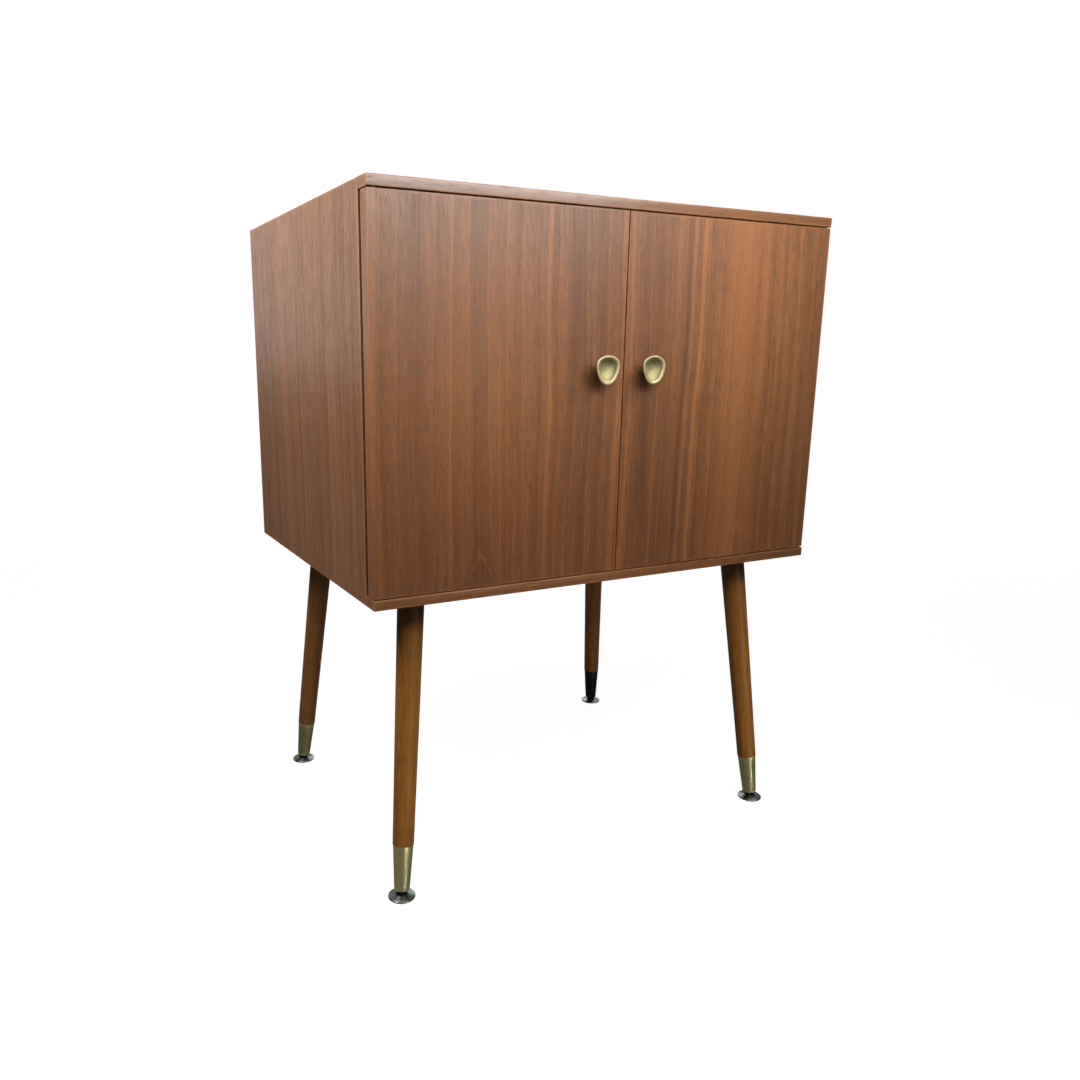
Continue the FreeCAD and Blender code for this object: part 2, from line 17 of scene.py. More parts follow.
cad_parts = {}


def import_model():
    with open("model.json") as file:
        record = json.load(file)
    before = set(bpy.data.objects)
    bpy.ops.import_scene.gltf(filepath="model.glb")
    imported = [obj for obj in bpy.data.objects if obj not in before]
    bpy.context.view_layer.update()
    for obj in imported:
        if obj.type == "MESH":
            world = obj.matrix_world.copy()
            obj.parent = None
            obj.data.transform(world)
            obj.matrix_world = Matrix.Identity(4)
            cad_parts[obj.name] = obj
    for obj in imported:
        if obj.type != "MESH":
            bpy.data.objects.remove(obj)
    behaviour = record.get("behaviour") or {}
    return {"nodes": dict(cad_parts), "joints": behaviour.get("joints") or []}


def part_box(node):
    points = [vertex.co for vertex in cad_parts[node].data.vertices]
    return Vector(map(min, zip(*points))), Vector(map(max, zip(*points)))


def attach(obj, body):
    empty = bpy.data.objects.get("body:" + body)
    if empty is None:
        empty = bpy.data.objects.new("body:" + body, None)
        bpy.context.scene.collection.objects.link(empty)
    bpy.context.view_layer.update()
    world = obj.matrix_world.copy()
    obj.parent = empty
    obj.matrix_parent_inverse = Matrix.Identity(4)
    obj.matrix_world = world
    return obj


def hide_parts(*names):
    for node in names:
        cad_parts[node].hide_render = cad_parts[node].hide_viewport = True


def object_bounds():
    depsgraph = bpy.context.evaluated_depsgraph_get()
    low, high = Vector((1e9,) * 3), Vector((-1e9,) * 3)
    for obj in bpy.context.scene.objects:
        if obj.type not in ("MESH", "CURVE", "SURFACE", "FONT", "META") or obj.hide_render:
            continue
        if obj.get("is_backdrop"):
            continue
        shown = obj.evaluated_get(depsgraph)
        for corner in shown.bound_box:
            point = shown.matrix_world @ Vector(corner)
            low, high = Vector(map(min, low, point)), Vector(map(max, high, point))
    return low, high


log = logging.getLogger("cabinet")
MM = 0.001

Colour = tuple[float, float, float]
Value = Union[float, "Field"]
Settings = Mapping[str, Any]
Sockets = Mapping[Union[str, int], Any]
Ring = list[bmesh.types.BMVert]


class Part(Enum):
    """A part of the cabinet, with the sign of its coordinate."""

    @property
    def label(self) -> str:
        """The part's name in node names."""
        return self.name.lower()


class Side(Part):
    """The two halves of the cabinet, with the sign of their X."""

    LEFT = -1
    RIGHT = 1


class End(Part):
    """The front and the back legs, with the sign of their Y."""

    FRONT = -1
    BACK = 1


class Axis(Enum):
    """The directions of the frame, as indices of a vector."""

    X = 0
    Y = 1
    Z = 2

    @property
    def unit(self) -> Vector:
        """A vector of length one along this axis."""
        return Vector([1.0 if self.value == n else 0.0 for n in range(3)])


# Shader writing


@dataclass(frozen=True)
class Field:
    """One value of a shader, which can stand in sums and products.

    Args:
        recipe: the recipe whose nodes make it.
        socket: the output that carries it.
    """

    recipe: "Recipe"
    socket: bpy.types.NodeSocket

    def __add__(self, other: Value) -> "Field":
        """This value plus another."""
        return self.recipe.math("ADD", self, other)

    def __radd__(self, other: Value) -> "Field":
        """Another value plus this one."""
        return self.recipe.math("ADD", other, self)

    def __sub__(self, other: Value) -> "Field":
        """This value less another."""
        return self.recipe.math("SUBTRACT", self, other)

    def __rsub__(self, other: Value) -> "Field":
        """Another value less this one."""
        return self.recipe.math("SUBTRACT", other, self)

    def __mul__(self, other: Value) -> "Field":
        """This value times another."""
        return self.recipe.math("MULTIPLY", self, other)

    def __truediv__(self, other: Value) -> "Field":
        """This value divided by another."""
        return self.recipe.math("DIVIDE", self, other)

    def rise(self, low: Value, high: Value) -> "Field":
        """A soft step from 0 below one value to 1 above another.

        Args:
            low: where the step starts.
            high: where it ends.

        Returns:
            The step as a value.
        """
        settings = {"interpolation_type": "SMOOTHSTEP"}
        sockets = {"Value": self, "From Min": low, "From Max": high}
        return self.recipe.value("ShaderNodeMapRange", settings, sockets)


class Recipe:
    """The shader of a material or of the world, under construction."""

    def __init__(self, owner: bpy.types.Material | bpy.types.World) -> None:
        """Starts with no nodes.

        Args:
            owner: the material or the world.
        """
        owner.use_nodes = True
        self.owner = owner
        self.tree = owner.node_tree
        self.tree.nodes.clear()

    def node(
        self, kind: str, settings: Settings | None = None, sockets: Sockets | None = None
    ) -> bpy.types.Node:
        """Adds one node.

        Args:
            kind: the node's type.
            settings: its own options, set before its sockets.
            sockets: values or fields for its inputs, by name or index.

        Returns:
            The node.
        """
        made = self.tree.nodes.new(kind)
        for name, value in (settings or {}).items():
            setattr(made, name, value)
        for key, value in (sockets or {}).items():
            self._feed(made.inputs[key], value)
        return made

    def _feed(self, socket: bpy.types.NodeSocket, value: Any) -> None:
        """Sets or links one input.

        Args:
            socket: the input.
            value: a field, a number, a colour or a vector.
        """
        if isinstance(value, Field):
            self.tree.links.new(value.socket, socket)
        elif socket.type == "RGBA":
            socket.default_value = (*value, 1.0)
        else:
            socket.default_value = value

    def value(
        self, kind: str, settings: Settings | None = None, sockets: Sockets | None = None, output: int = 0
    ) -> Field:
        """Adds one node and takes one of its outputs.

        Args:
            kind: the node's type.
            settings: its own options.
            sockets: values or fields for its inputs.
            output: which output to take.

        Returns:
            The output as a field.
        """
        return Field(self, self.node(kind, settings, sockets).outputs[output])

    def math(self, operation: str, *values: Value) -> Field:
        """A Math node on one to three values.

        Args:
            operation: the node's operation.
            values: its inputs in order.

        Returns:
            The result.
        """
        return self.value("ShaderNodeMath", {"operation": operation}, dict(enumerate(values)))

    def vector(self, operation: str, *values: Any, output: int = 0) -> Field:
        """A Vector Math node.

        Args:
            operation: the node's operation.
            values: its inputs in order.
            output: 0 for a vector, 1 for a number.

        Returns:
            The result.
        """
        return self.value("ShaderNodeVectorMath", {"operation": operation}, dict(enumerate(values)), output)

    def mix(self, share: Value, first: Any, second: Any) -> Field:
        """A colour between two others.

        Args:
            share: 0 for the first, 1 for the second.
            first: a colour or a field.
            second: a colour or a field.

        Returns:
            The colour.
        """
        return self.value("ShaderNodeMix", {"data_type": "RGBA"}, {0: share, 6: first, 7: second}, 2)

    def noise(self, place: Field, stretch: Vector, detail: float = 2.0, roughness: float = 0.5) -> Field:
        """Soft noise around one half, stretched along the axes of a place.

        Args:
            place: where the noise is read.
            stretch: how many times a metre the noise changes along each axis.
            detail: how many finer layers it has.
            roughness: how strong the finer layers are.

        Returns:
            The noise, from 0 to 1.
        """
        scaled = self.vector("MULTIPLY", place, stretch)
        sockets = {"Vector": scaled, "Scale": 1.0, "Detail": detail, "Roughness": roughness}
        return self.value("ShaderNodeTexNoise", {"noise_dimensions": "3D"}, sockets)

    def place(self) -> Field:
        """Where a point of the surface lies, in the frame of its own object."""
        return self.value("ShaderNodeTexCoord", output=3)

    def mark(self, name: str) -> Field:
        """A mark that a mesh carries on its corners, such as how rubbed it is."""
        return self.value("ShaderNodeAttribute", {"attribute_name": name}, output=2)

    def edge(self, place: Field, low: Vector, high: Vector) -> Field:
        """Distance from a point on a board to the nearest edge of the board.

        Args:
            place: the point.
            low: lowest corner of the board.
            high: its highest corner.

        Returns:
            The distance.
        """
        apart = self.vector("ABSOLUTE", self.vector("SUBTRACT", place, (low + high) / 2.0))
        inner = self.vector("SUBTRACT", (high - low) / 2.0, apart)
        split = self.node("ShaderNodeSeparateXYZ", {}, {0: inner})
        x, y, z = (Field(self, split.outputs[n]) for n in range(3))
        least = self.math("MINIMUM", self.math("MINIMUM", x, y), z)
        most = self.math("MAXIMUM", self.math("MAXIMUM", x, y), z)
        return x + y + z - least - most

    def bump(self, height: Field, strength: float, distance: float) -> Field:
        """A normal that a height field tilts.

        Args:
            height: the height, from 0 to 1.
            strength: how much of it shows.
            distance: the height of 1, in metres.

        Returns:
            The normal.
        """
        sockets = {"Height": height, "Strength": strength, "Distance": distance}
        return self.value("ShaderNodeBump", {}, sockets)

    def surface(self, fixed: Mapping[str, Any], varied: Mapping[str, Field]) -> bpy.types.Material:
        """Ends the material with one surface shader.

        Args:
            fixed: values that are the same all over.
            varied: values that change over the surface.

        Returns:
            The material.
        """
        shader = self.node("ShaderNodeBsdfPrincipled", {}, {**fixed, **varied})
        self.node("ShaderNodeOutputMaterial", {}, {"Surface": Field(self, shader.outputs[0])})
        return self.owner


# Finishes

# The noises of wood. Each holds how often it changes in a metre over, through and along the grain, how many
# finer layers it has and, where it isn't one half, how strong they are.
SWAY = (Vector((4.0, 4.0, 2.4)), 2.0)
QUIVER = (Vector((30.0, 30.0, 9.0)), 2.0)
FIBRE = (Vector((460.0, 430.0, 52.0)), 3.0, 0.7)
DASHES = (Vector((410.0, 370.0, 66.0)), 2.0, 0.6)
STREAKING = (Vector((150.0, 150.0, 2.6)), 3.0, 0.62)
BANDS = (Vector((17.0, 17.0, 1.1)), 2.0)
MOTTLE = (Vector((42.0, 42.0, 24.0)), 4.0, 0.66)
THREADS = (Vector((230.0, 230.0, 2.2)), 1.0)
VEINS = (Vector((190.0, 190.0, 3.0)), 2.0)

MEAN = 0.5  # of every noise
SLANT = 0.31  # tilts the plane in which a board's face cuts the noises, so that faces at other depths differ
SLANT_START = 0.0137  # moves that plane off the zero of the noises
SWAY_REACH = 0.028  # how far the long bends of the grain reach
QUIVER_REACH = 0.0035  # how far its short bends reach
CROWN_WIDTH = 0.0088  # half the width of an arch at its crown
FIRST_LINE = 0.0115  # from an arch to its first growth line
TINY = 1.0e-7  # keeps a root away from zero
# Boards' edges are painted lighter, partly wear and partly painted highlight.
EDGE_WEAR_AND_HIGHLIGHT = 0.0035  # how far the rubbing of a board's edges reaches
# Near-black colour of dirt and painted shade in hollows and where parts meet.
DIRT_AND_SHADE = (0.006, 0.006, 0.005)
WHITE = (1.0, 1.0, 1.0)
COOL = (0.96, 0.99, 1.0)


@dataclass(frozen=True)
class Stock:
    """How a piece of wood was cut: where its grain runs, and where the middle of its log lies.

    Args:
        origin: the point that the other places are measured from.
        across: direction over the width of the piece.
        along: direction of the grain.
        heart: middle of the log from the origin, over the width and into the depth.
        crown: of an arched figure, the height at which the arch closes and how fast it widens below.
    """

    origin: Vector
    across: Vector
    along: Vector
    heart: tuple[float, float] = (0.0, 0.09)
    crown: tuple[float, float] | None = None

    @property
    def deep(self) -> Vector:
        """Direction through the thickness of the piece."""
        return self.along.cross(self.across)


@dataclass(frozen=True)
class Streak:
    """A band of other colour along the grain.

    Args:
        at: its middle, over the width.
        width: its half width.
        warmth: its strength, above 0 for the warm colour and below 0 for the dark one.
        low: where it starts along the grain.
        high: where it ends.
        soft: half the length over which it starts or ends.
        colour: its own colour, if it is neither the warm nor the dark one.
    """

    at: float
    width: float
    warmth: float
    low: float = -math.inf
    high: float = math.inf
    soft: float = 0.035
    colour: Colour | None = None


@dataclass(frozen=True)
class Wood:
    """Oiled wood with growth rings, streaks, fibres and pores.

    Args:
        name: start of the material's name.
        light: colour of the early wood.
        dark: colour of the late wood.
        warm: colour of warm streaks, and of rubbed edges, where it also paints a highlight.
        deep: colour of dark streaks and pores.
        ring: distance between growth lines.
        sheen: roughness of the oiled surface.
        gloss: specular level of the oil.
        unfaded: length below the stock's origin over which the wood is painted darker: painted shade, as
            under the box above a leg.
    """

    name: str
    light: Colour
    dark: Colour
    warm: Colour
    deep: Colour
    ring: float = 0.0203
    sheen: float = 0.42
    gloss: float = 0.5
    unfaded: float = 0.0

    def figure(self, recipe: Recipe, stock: Stock, across: Field, depth: Field, along: Field) -> Field:
        """Counts the growth lines from the heart of the log outwards.

        Args:
            recipe: the material.
            stock: how the piece was cut.
            across: place over the width, bent with the grain.
            depth: place in the thickness.
            along: place along the grain.

        Returns:
            The count.
        """
        aside = across - stock.heart[0]
        if stock.crown is None:
            into = depth - stock.heart[1]
            return recipe.math("SQRT", aside * aside + into * into) / self.ring
        height, spread = stock.crown
        opening = recipe.math("EXPONENT", (height - along) * spread) * CROWN_WIDTH
        square = aside * aside - opening * opening
        size = recipe.math("SQRT", recipe.math("ABSOLUTE", square) + TINY)
        return (square / size - FIRST_LINE) / self.ring

    def make(
        self,
        label: str,
        stock: Stock,
        streaks: Iterable[Streak] = (),
        board_box: tuple[Vector, Vector] | None = None,
    ) -> bpy.types.Material:
        """Makes the material of one piece.

        Args:
            label: the piece, which ends the material's name.
            stock: how the piece was cut.
            streaks: bands of other colour.
            board_box: lowest and highest corner of a board whose edges are rubbed and painted with a
                highlight.

        Returns:
            The material.
        """
        recipe = Recipe(bpy.data.materials.new(f"{self.name}_{label}"))
        place = recipe.place()
        local = recipe.vector("SUBTRACT", place, stock.origin)
        axes = (stock.across, stock.deep, stock.along)
        across, depth, along = (recipe.vector("DOT_PRODUCT", local, axis, output=1) for axis in axes)
        skew = depth + across * SLANT + SLANT_START
        straight = recipe.value("ShaderNodeCombineXYZ", {}, {0: across, 1: skew, 2: along})
        sway, quiver = (recipe.noise(straight, *noise) - MEAN for noise in (SWAY, QUIVER))
        bent = across + sway * SWAY_REACH + quiver * QUIVER_REACH
        grain = recipe.value("ShaderNodeCombineXYZ", {}, {0: bent, 1: skew, 2: along})

        noises = (FIBRE, DASHES, STREAKING, BANDS)
        fibre, dashes, streaking, bands = (recipe.noise(grain, *noise) for noise in noises)
        mottle = recipe.noise(straight, *MOTTLE)
        shade: Value = MEAN
        for noise, weight in ((streaking, 0.9), (fibre, 1.4), (bands, 0.9), (mottle, 0.55)):
            shade = shade + (noise - MEAN) * weight
        shade = recipe.value("ShaderNodeClamp", {}, {"Value": shade})
        colour = recipe.mix(shade, self.light, self.dark)

        count = self.figure(recipe, stock, bent + quiver * 0.002, depth, along)
        phase = recipe.math("FRACT", count)
        line = (1.0 - phase.rise(0.0, 0.07)) + phase.rise(0.94, 1.0)
        colour = recipe.mix(phase.rise(0.25, 0.95) * 0.22, colour, self.deep)
        if stock.crown is not None:
            line = line * (1.0 + (1.0 - count.rise(0.5, 4.0)) * 0.8)
            colour = recipe.mix(count.rise(0.1, -0.9) * 0.45, colour, self.deep)
        colour = recipe.mix(line * (0.08 + streaking * 0.42), colour, self.warm)
        thread = recipe.noise(grain, *THREADS).rise(0.62, 0.74)
        colour = recipe.mix(thread * 0.24, colour, self.warm)
        vein = recipe.noise(grain, *VEINS).rise(0.36, 0.24)
        colour = recipe.mix(vein * 0.28, colour, self.deep)
        for streak in streaks:
            colour = recipe.mix(self.band(recipe, streak, bent, along, streaking), colour, self.tint(streak))
        pore = dashes.rise(0.54, 0.70)
        colour = recipe.mix(pore * 0.28, colour, self.deep)
        # Painted shade: darker near the stock's origin, as at the top of a leg under the box.
        if self.unfaded > 0.0:
            colour = recipe.mix(along.rise(-self.unfaded, 0.0) * 0.5, colour, self.deep)

        roughness = self.sheen + (mottle - MEAN) * 0.14 + pore * 0.12 + (fibre - MEAN) * 0.08
        if board_box is not None:
            # Edges painted lighter and warmer: wear together with a painted highlight along them.
            near_edge = 1.0 - recipe.edge(place, *board_box).rise(0.0, EDGE_WEAR_AND_HIGHLIGHT)
            rubbed = near_edge * mottle.rise(0.36, 0.60)
            colour = recipe.mix(rubbed * 0.5, colour, self.warm)
            roughness = roughness - rubbed * 0.08
        relief = recipe.bump(fibre * 0.5 + (1.0 - pore) * 0.5, 0.20, 0.12 * MM)
        varied = {"Base Color": colour, "Roughness": roughness, "Normal": relief}
        return recipe.surface({"Specular IOR Level": self.gloss, "IOR": 1.5}, varied)

    def tint(self, streak: Streak) -> Colour:
        """The colour of a streak."""
        return streak.colour or (self.warm if streak.warmth > 0.0 else self.deep)

    @staticmethod
    def band(recipe: Recipe, streak: Streak, across: Field, along: Field, texture: Field) -> Field:
        """How strongly a streak covers a point.

        Args:
            recipe: the material.
            streak: the streak.
            across: place over the width, bent with the grain.
            along: place along the grain.
            texture: noise that breaks the streak up.

        Returns:
            The share, from 0 to 1.
        """
        aside = recipe.math("ABSOLUTE", across - streak.at) / streak.width
        share = (1.0 - aside.rise(0.1, 1.0)) * texture.rise(0.20, 0.62) * abs(streak.warmth)
        if streak.low > -math.inf:
            share = share * along.rise(streak.low - streak.soft, streak.low + streak.soft)
        if streak.high < math.inf:
            share = share * along.rise(streak.high + streak.soft, streak.high - streak.soft)
        return share

    def toned(self, share: float) -> "Wood":
        """The same wood with its colours made darker or lighter.

        Args:
            share: what the colours are multiplied by.

        Returns:
            The wood.
        """
        names = ("light", "dark", "warm", "deep")
        colours = {name: tuple(share * level for level in getattr(self, name)) for name in names}
        return replace(self, **colours)


@dataclass(frozen=True)
class Ply:
    """Plywood: calm face veneer, and thin crossing layers on its edges.

    Args:
        name: the material's name.
        face: colour of the face veneer.
        grain: colour of its figure.
        core: colour of the layers that are cut across.
        layer: thickness of one layer.
        through: axis through the thickness.
        along: axis of the face grain.
        start: coordinate of one face along the first axis.
    """

    name: str
    face: Colour
    grain: Colour
    core: Colour
    layer: float
    through: Axis
    along: Axis
    start: float

    def make(self) -> bpy.types.Material:
        """Makes the material."""
        recipe = Recipe(bpy.data.materials.new(self.name))
        place = recipe.place()
        normal = recipe.value("ShaderNodeTexCoord", output=1)
        stretch = Vector((55.0,) * 3)
        stretch[self.along.value] = 2.4
        finer = 11.0
        figure = recipe.noise(place, stretch, 3.0, 0.6)
        fine = recipe.noise(place, stretch * finer, 2.0, 0.6)
        level = recipe.vector("DOT_PRODUCT", place, self.through.unit, output=1)
        facing = recipe.vector("DOT_PRODUCT", normal, self.through.unit, output=1)
        edge = 1.0 - recipe.math("ABSOLUTE", facing).rise(0.4, 0.8)
        turn = recipe.math("FRACT", (level - self.start) / (2.0 * self.layer))
        crossing = turn.rise(0.46, 0.54) * edge
        colour = recipe.mix(figure.rise(0.35, 0.75) * 0.6, self.face, self.grain)
        colour = recipe.mix((fine - MEAN) * 0.5 + 0.1, colour, self.grain)
        colour = recipe.mix(crossing * 0.85, colour, self.core)
        varied = {
            "Base Color": colour,
            "Roughness": 0.58 + (figure - MEAN) * 0.16,
            "Normal": recipe.bump(fine, 0.25, 0.1 * MM),
        }
        return recipe.surface({"Specular IOR Level": 0.3}, varied)


@dataclass(frozen=True)
class Metal:
    """A metal with a satin polish, cloudy patina and fine scratches.

    Args:
        name: the material's name.
        bright: colour of the clean metal.
        dull: colour of its patina.
        rubbed: colour where edges are rubbed.
        roughness: of the clean metal.
        cloud: how many times a metre the patina changes.
        patina: how much of the surface is dulled.
        brushed: axis of fine lines, if it has them.
        turned: how far a highlight is drawn out along Z by the marks of turning.
        metallic: 1 for bare metal, less under a dark film.
    """

    name: str
    bright: Colour
    dull: Colour
    rubbed: Colour
    roughness: float
    cloud: float
    patina: float = 0.5
    brushed: Axis | None = None
    turned: float = 0.0
    metallic: float = 1.0

    def make(self) -> bpy.types.Material:
        """Makes the material."""
        recipe = Recipe(bpy.data.materials.new(self.name))
        place = recipe.place()
        finer, fine_lines, long_lines = 9.0, 2600.0, 60.0
        cloud = recipe.noise(place, Vector((self.cloud,) * 3), 4.0, 0.62)
        speck = recipe.noise(place, Vector((self.cloud * finer,) * 3), 2.0, 0.6)
        lines = Vector((fine_lines,) * 3)
        if self.brushed is not None:
            lines[self.brushed.value] = long_lines
        scratch = recipe.noise(place, lines, 2.0, 0.7)
        # Rims and edges are painted lighter, partly wear and partly painted highlight; hollows and joins are
        # painted near black, dirt and painted shade.
        rub = recipe.mark("rub") * speck.rise(0.30, 0.55)
        grime = recipe.mark("grime")
        dulled = (cloud.rise(0.36, 0.68) * 0.8 + speck.rise(0.5, 0.8) * 0.35) * self.patina - rub
        dulled = recipe.value("ShaderNodeClamp", {}, {"Value": dulled})
        colour = recipe.mix(dulled, self.bright, self.dull)
        colour = recipe.mix(rub * 0.6, colour, self.rubbed)
        colour = recipe.mix(grime * 0.92, colour, DIRT_AND_SHADE)
        varied = {
            "Base Color": colour,
            "Roughness": self.roughness + dulled * 0.14 + (scratch - MEAN) * 0.14 + grime * 0.3,
            "Normal": recipe.bump(scratch, 0.12, 0.03 * MM),
        }
        fixed = {"Metallic": self.metallic, "Anisotropic": self.turned, "Anisotropic Rotation": 0.25}
        return recipe.surface(fixed, varied)


@dataclass(frozen=True)
class Moulding:
    """Moulded plastic with a fine spark-eroded grain.

    Args:
        name: the material's name.
        colour: its main colour.
        worn: its colour where it was rubbed.
        roughness: of the surface.
    """

    name: str
    colour: Colour
    worn: Colour
    roughness: float

    def make(self) -> bpy.types.Material:
        """Makes the material."""
        recipe = Recipe(bpy.data.materials.new(self.name))
        place = recipe.place()
        grain = recipe.noise(place, Vector((2400.0,) * 3), 2.0)
        rubbed = recipe.noise(place, Vector((120.0,) * 3), 3.0).rise(0.5, 0.8)
        varied = {
            "Base Color": recipe.mix(rubbed * 0.5, self.colour, self.worn),
            "Roughness": self.roughness + (grain - MEAN) * 0.15 - rubbed * 0.08,
            "Normal": recipe.bump(grain, 0.3, 0.05 * MM),
        }
        return recipe.surface({"Specular IOR Level": 0.4}, varied)


VENEER = Wood(
    "veneer",
    light=(0.290, 0.116, 0.043),
    dark=(0.120, 0.045, 0.016),
    warm=(0.350, 0.130, 0.043),
    deep=(0.066, 0.026, 0.012),
    sheen=0.40,
    gloss=0.47,
)
SOLID = Wood(
    "lipping",
    light=(0.270, 0.112, 0.044),
    dark=(0.135, 0.053, 0.020),
    warm=(0.380, 0.170, 0.074),
    deep=(0.070, 0.028, 0.012),
    sheen=0.34,
    gloss=0.66,
)
WARM_SOLID = replace(SOLID, light=(0.290, 0.112, 0.038), dark=(0.145, 0.054, 0.017), gloss=0.42)
# Painted shade: a dark band over the lower part of each door, strongest at the bottom and gone by about 0.6
# m.
PAINTED_SHADE_DOOR_FOOT = Streak(0.0, 1.2, -0.50, high=0.48, soft=0.12, colour=(0.140, 0.034, 0.006))
LEG_WOOD = Wood(
    "leg_walnut",
    light=(0.400, 0.150, 0.020),
    dark=(0.195, 0.070, 0.010),
    warm=(0.440, 0.170, 0.020),
    deep=(0.080, 0.030, 0.006),
    ring=0.0044,
    sheen=0.36,
    gloss=0.3,
    unfaded=0.13,
)
# Painted shade: a darker copy of the leg wood, for the back legs.
PAINTED_SHADE_BACK_LEG_WOOD = replace(
    LEG_WOOD,
    name="back_leg_walnut",
    light=(0.330, 0.130, 0.028),
    dark=(0.160, 0.062, 0.014),
    warm=(0.350, 0.138, 0.028),
)
PLY_TONES = ((0.61, 0.42, 0.230), (0.49, 0.31, 0.155), (0.32, 0.19, 0.096))

# The colours of each metal are its clean, its dulled and its rubbed one. The rubbed one also paints a
# highlight on rims and edges.
PULL_BRASS = Metal(
    "pull_brass", (0.475, 0.410, 0.215), (0.320, 0.288, 0.140), (0.530, 0.415, 0.290), 0.55, 90.0, 0.45
)
FERRULE_BRASS = Metal(
    "ferrule_brass", (0.600, 0.545, 0.255), (0.360, 0.320, 0.128), (0.680, 0.620, 0.330),
    0.39, 45.0, 0.45, turned=0.5,
)
# Painted shade: a darker copy of the ferrule brass, for the back left ferrule.
PAINTED_SHADE_BRASS = replace(
    FERRULE_BRASS, name="tarnished_brass", bright=(0.370, 0.330, 0.150), dull=(0.230, 0.200, 0.082)
)
# A nearly black brass, for the back right ferrule.
NEAR_BLACK_BRASS = Metal(
    "blackened_brass", (0.040, 0.040, 0.028), (0.012, 0.012, 0.008), (0.080, 0.074, 0.046),
    0.38, 60.0, 0.6, turned=0.8,
)
HINGE_BRASS = Metal(
    "hinge_brass", (0.340, 0.255, 0.110), (0.160, 0.112, 0.044), (0.480, 0.370, 0.180),
    0.38, 80.0, 0.5, Axis.X,
)
STEEL = Metal("steel", (0.380, 0.380, 0.370), (0.190, 0.185, 0.175), (0.520, 0.520, 0.510), 0.34, 110.0, 0.5)
GLIDE_STEEL = Metal(
    "glide_steel", (0.172, 0.188, 0.178), (0.074, 0.083, 0.080), (0.300, 0.316, 0.302),
    0.36, 90.0, 0.5, turned=0.8,
)
DARK_STEEL = Metal(
    "dark_steel", (0.050, 0.050, 0.052), (0.022, 0.021, 0.020), (0.160, 0.155, 0.150),
    0.42, 70.0, 0.6, metallic=0.6,
)
CATCH_PLASTIC = Moulding("catch_plastic", (0.060, 0.034, 0.020), (0.100, 0.062, 0.040), 0.42)


# Mesh making


class Form:
    """A mesh under construction, from rings of points that are joined one after another."""

    def __init__(self) -> None:
        """Starts an empty mesh."""
        self.mesh = bmesh.new()
        self.rub = self.mesh.verts.layers.float.new("rub")
        self.grime = self.mesh.verts.layers.float.new("grime")

    def ring(self, points: Iterable[Vector], rub: float = 0.0, grime: float = 0.0) -> Ring:
        """Adds the corners of one ring.

        Args:
            points: the places of its corners.
            rub: how rubbed they are, which also paints a highlight on them, from 0 to 1.
            grime: how much dirt and painted shade lies on them, from 0 to 1.

        Returns:
            The corners.
        """
        corners = [self.mesh.verts.new(point) for point in points]
        for corner in corners:
            corner[self.rub] = rub
            corner[self.grime] = grime
        return corners

    def skin(self, rings: Sequence[Ring], closed: bool = True) -> None:
        """Joins rings of equal length with four-sided faces.

        Args:
            rings: the rings, one after another.
            closed: whether the first and the last ring are closed too.
        """
        for lower, upper in zip(rings, rings[1:]):
            count = len(lower)
            for n in range(count):
                after = (n + 1) % count
                self.mesh.faces.new((lower[n], lower[after], upper[after], upper[n]))
        if closed:
            self.cap(rings[0][::-1])
            self.cap(rings[-1])

    def cap(self, ring: Ring) -> None:
        """Closes a ring with a fan of triangles round its middle.

        Args:
            ring: the corners, in the order that gives the face its outward side.
        """
        middle = sum((corner.co for corner in ring), Vector()) / len(ring)
        hub = self.ring([middle], ring[0][self.rub], ring[0][self.grime])[0]
        for n, corner in enumerate(ring):
            self.mesh.faces.new((corner, ring[(n + 1) % len(ring)], hub))

    def lathe(self, section: Sequence[Sequence[float]], foot: Vector, axis: Vector, count: int = 64) -> None:
        """Turns a section round an axis.

        Args:
            section: radius, height and, where they aren't 0, the mark of wear with painted highlight and the
                mark of
            dirt with painted shade of each point. A radius of 0 at both ends closes the form there.
            foot: the point of height 0.
            axis: the direction of height.
            count: how many corners go round.
        """
        turn = axis.to_track_quat("Z", "X")
        angles = [2.0 * math.pi * n / count for n in range(count)]
        rings = []
        for radius, height, *marks in section:
            if radius > 0.0:
                spots = [Vector((radius * math.cos(a), radius * math.sin(a), height)) for a in angles]
                rings.append(self.ring([foot + turn @ spot for spot in spots], *marks))
        self.skin(rings, closed=section[0][0] == section[-1][0] == 0.0)

    def piece(
        self, name: str, material: bpy.types.Material, smooth: float = 35.0, levels: int = 0
    ) -> bpy.types.Object:
        """Ends the mesh as an object of the scene.

        Args:
            name: the object's name.
            material: its finish.
            smooth: edges flatter than this angle, in degrees, are shaded round.
            levels: how many times its faces are divided into a smooth surface.

        Returns:
            The object.
        """
        bmesh.ops.recalc_face_normals(self.mesh, faces=self.mesh.faces)
        limit = math.radians(smooth)
        for face in self.mesh.faces:
            face.smooth = True
        for edge in self.mesh.edges:
            edge.smooth = len(edge.link_faces) == 2 and edge.calc_face_angle() < limit
        data = bpy.data.meshes.new(name)
        self.mesh.to_mesh(data)
        self.mesh.free()
        data.materials.append(material)
        made = bpy.data.objects.new(name, data)
        bpy.context.scene.collection.objects.link(made)
        if levels:
            smoother = made.modifiers.new("smooth", "SUBSURF")
            smoother.levels = levels
            smoother.render_levels = levels
        log.info("made %s", name)
        return made


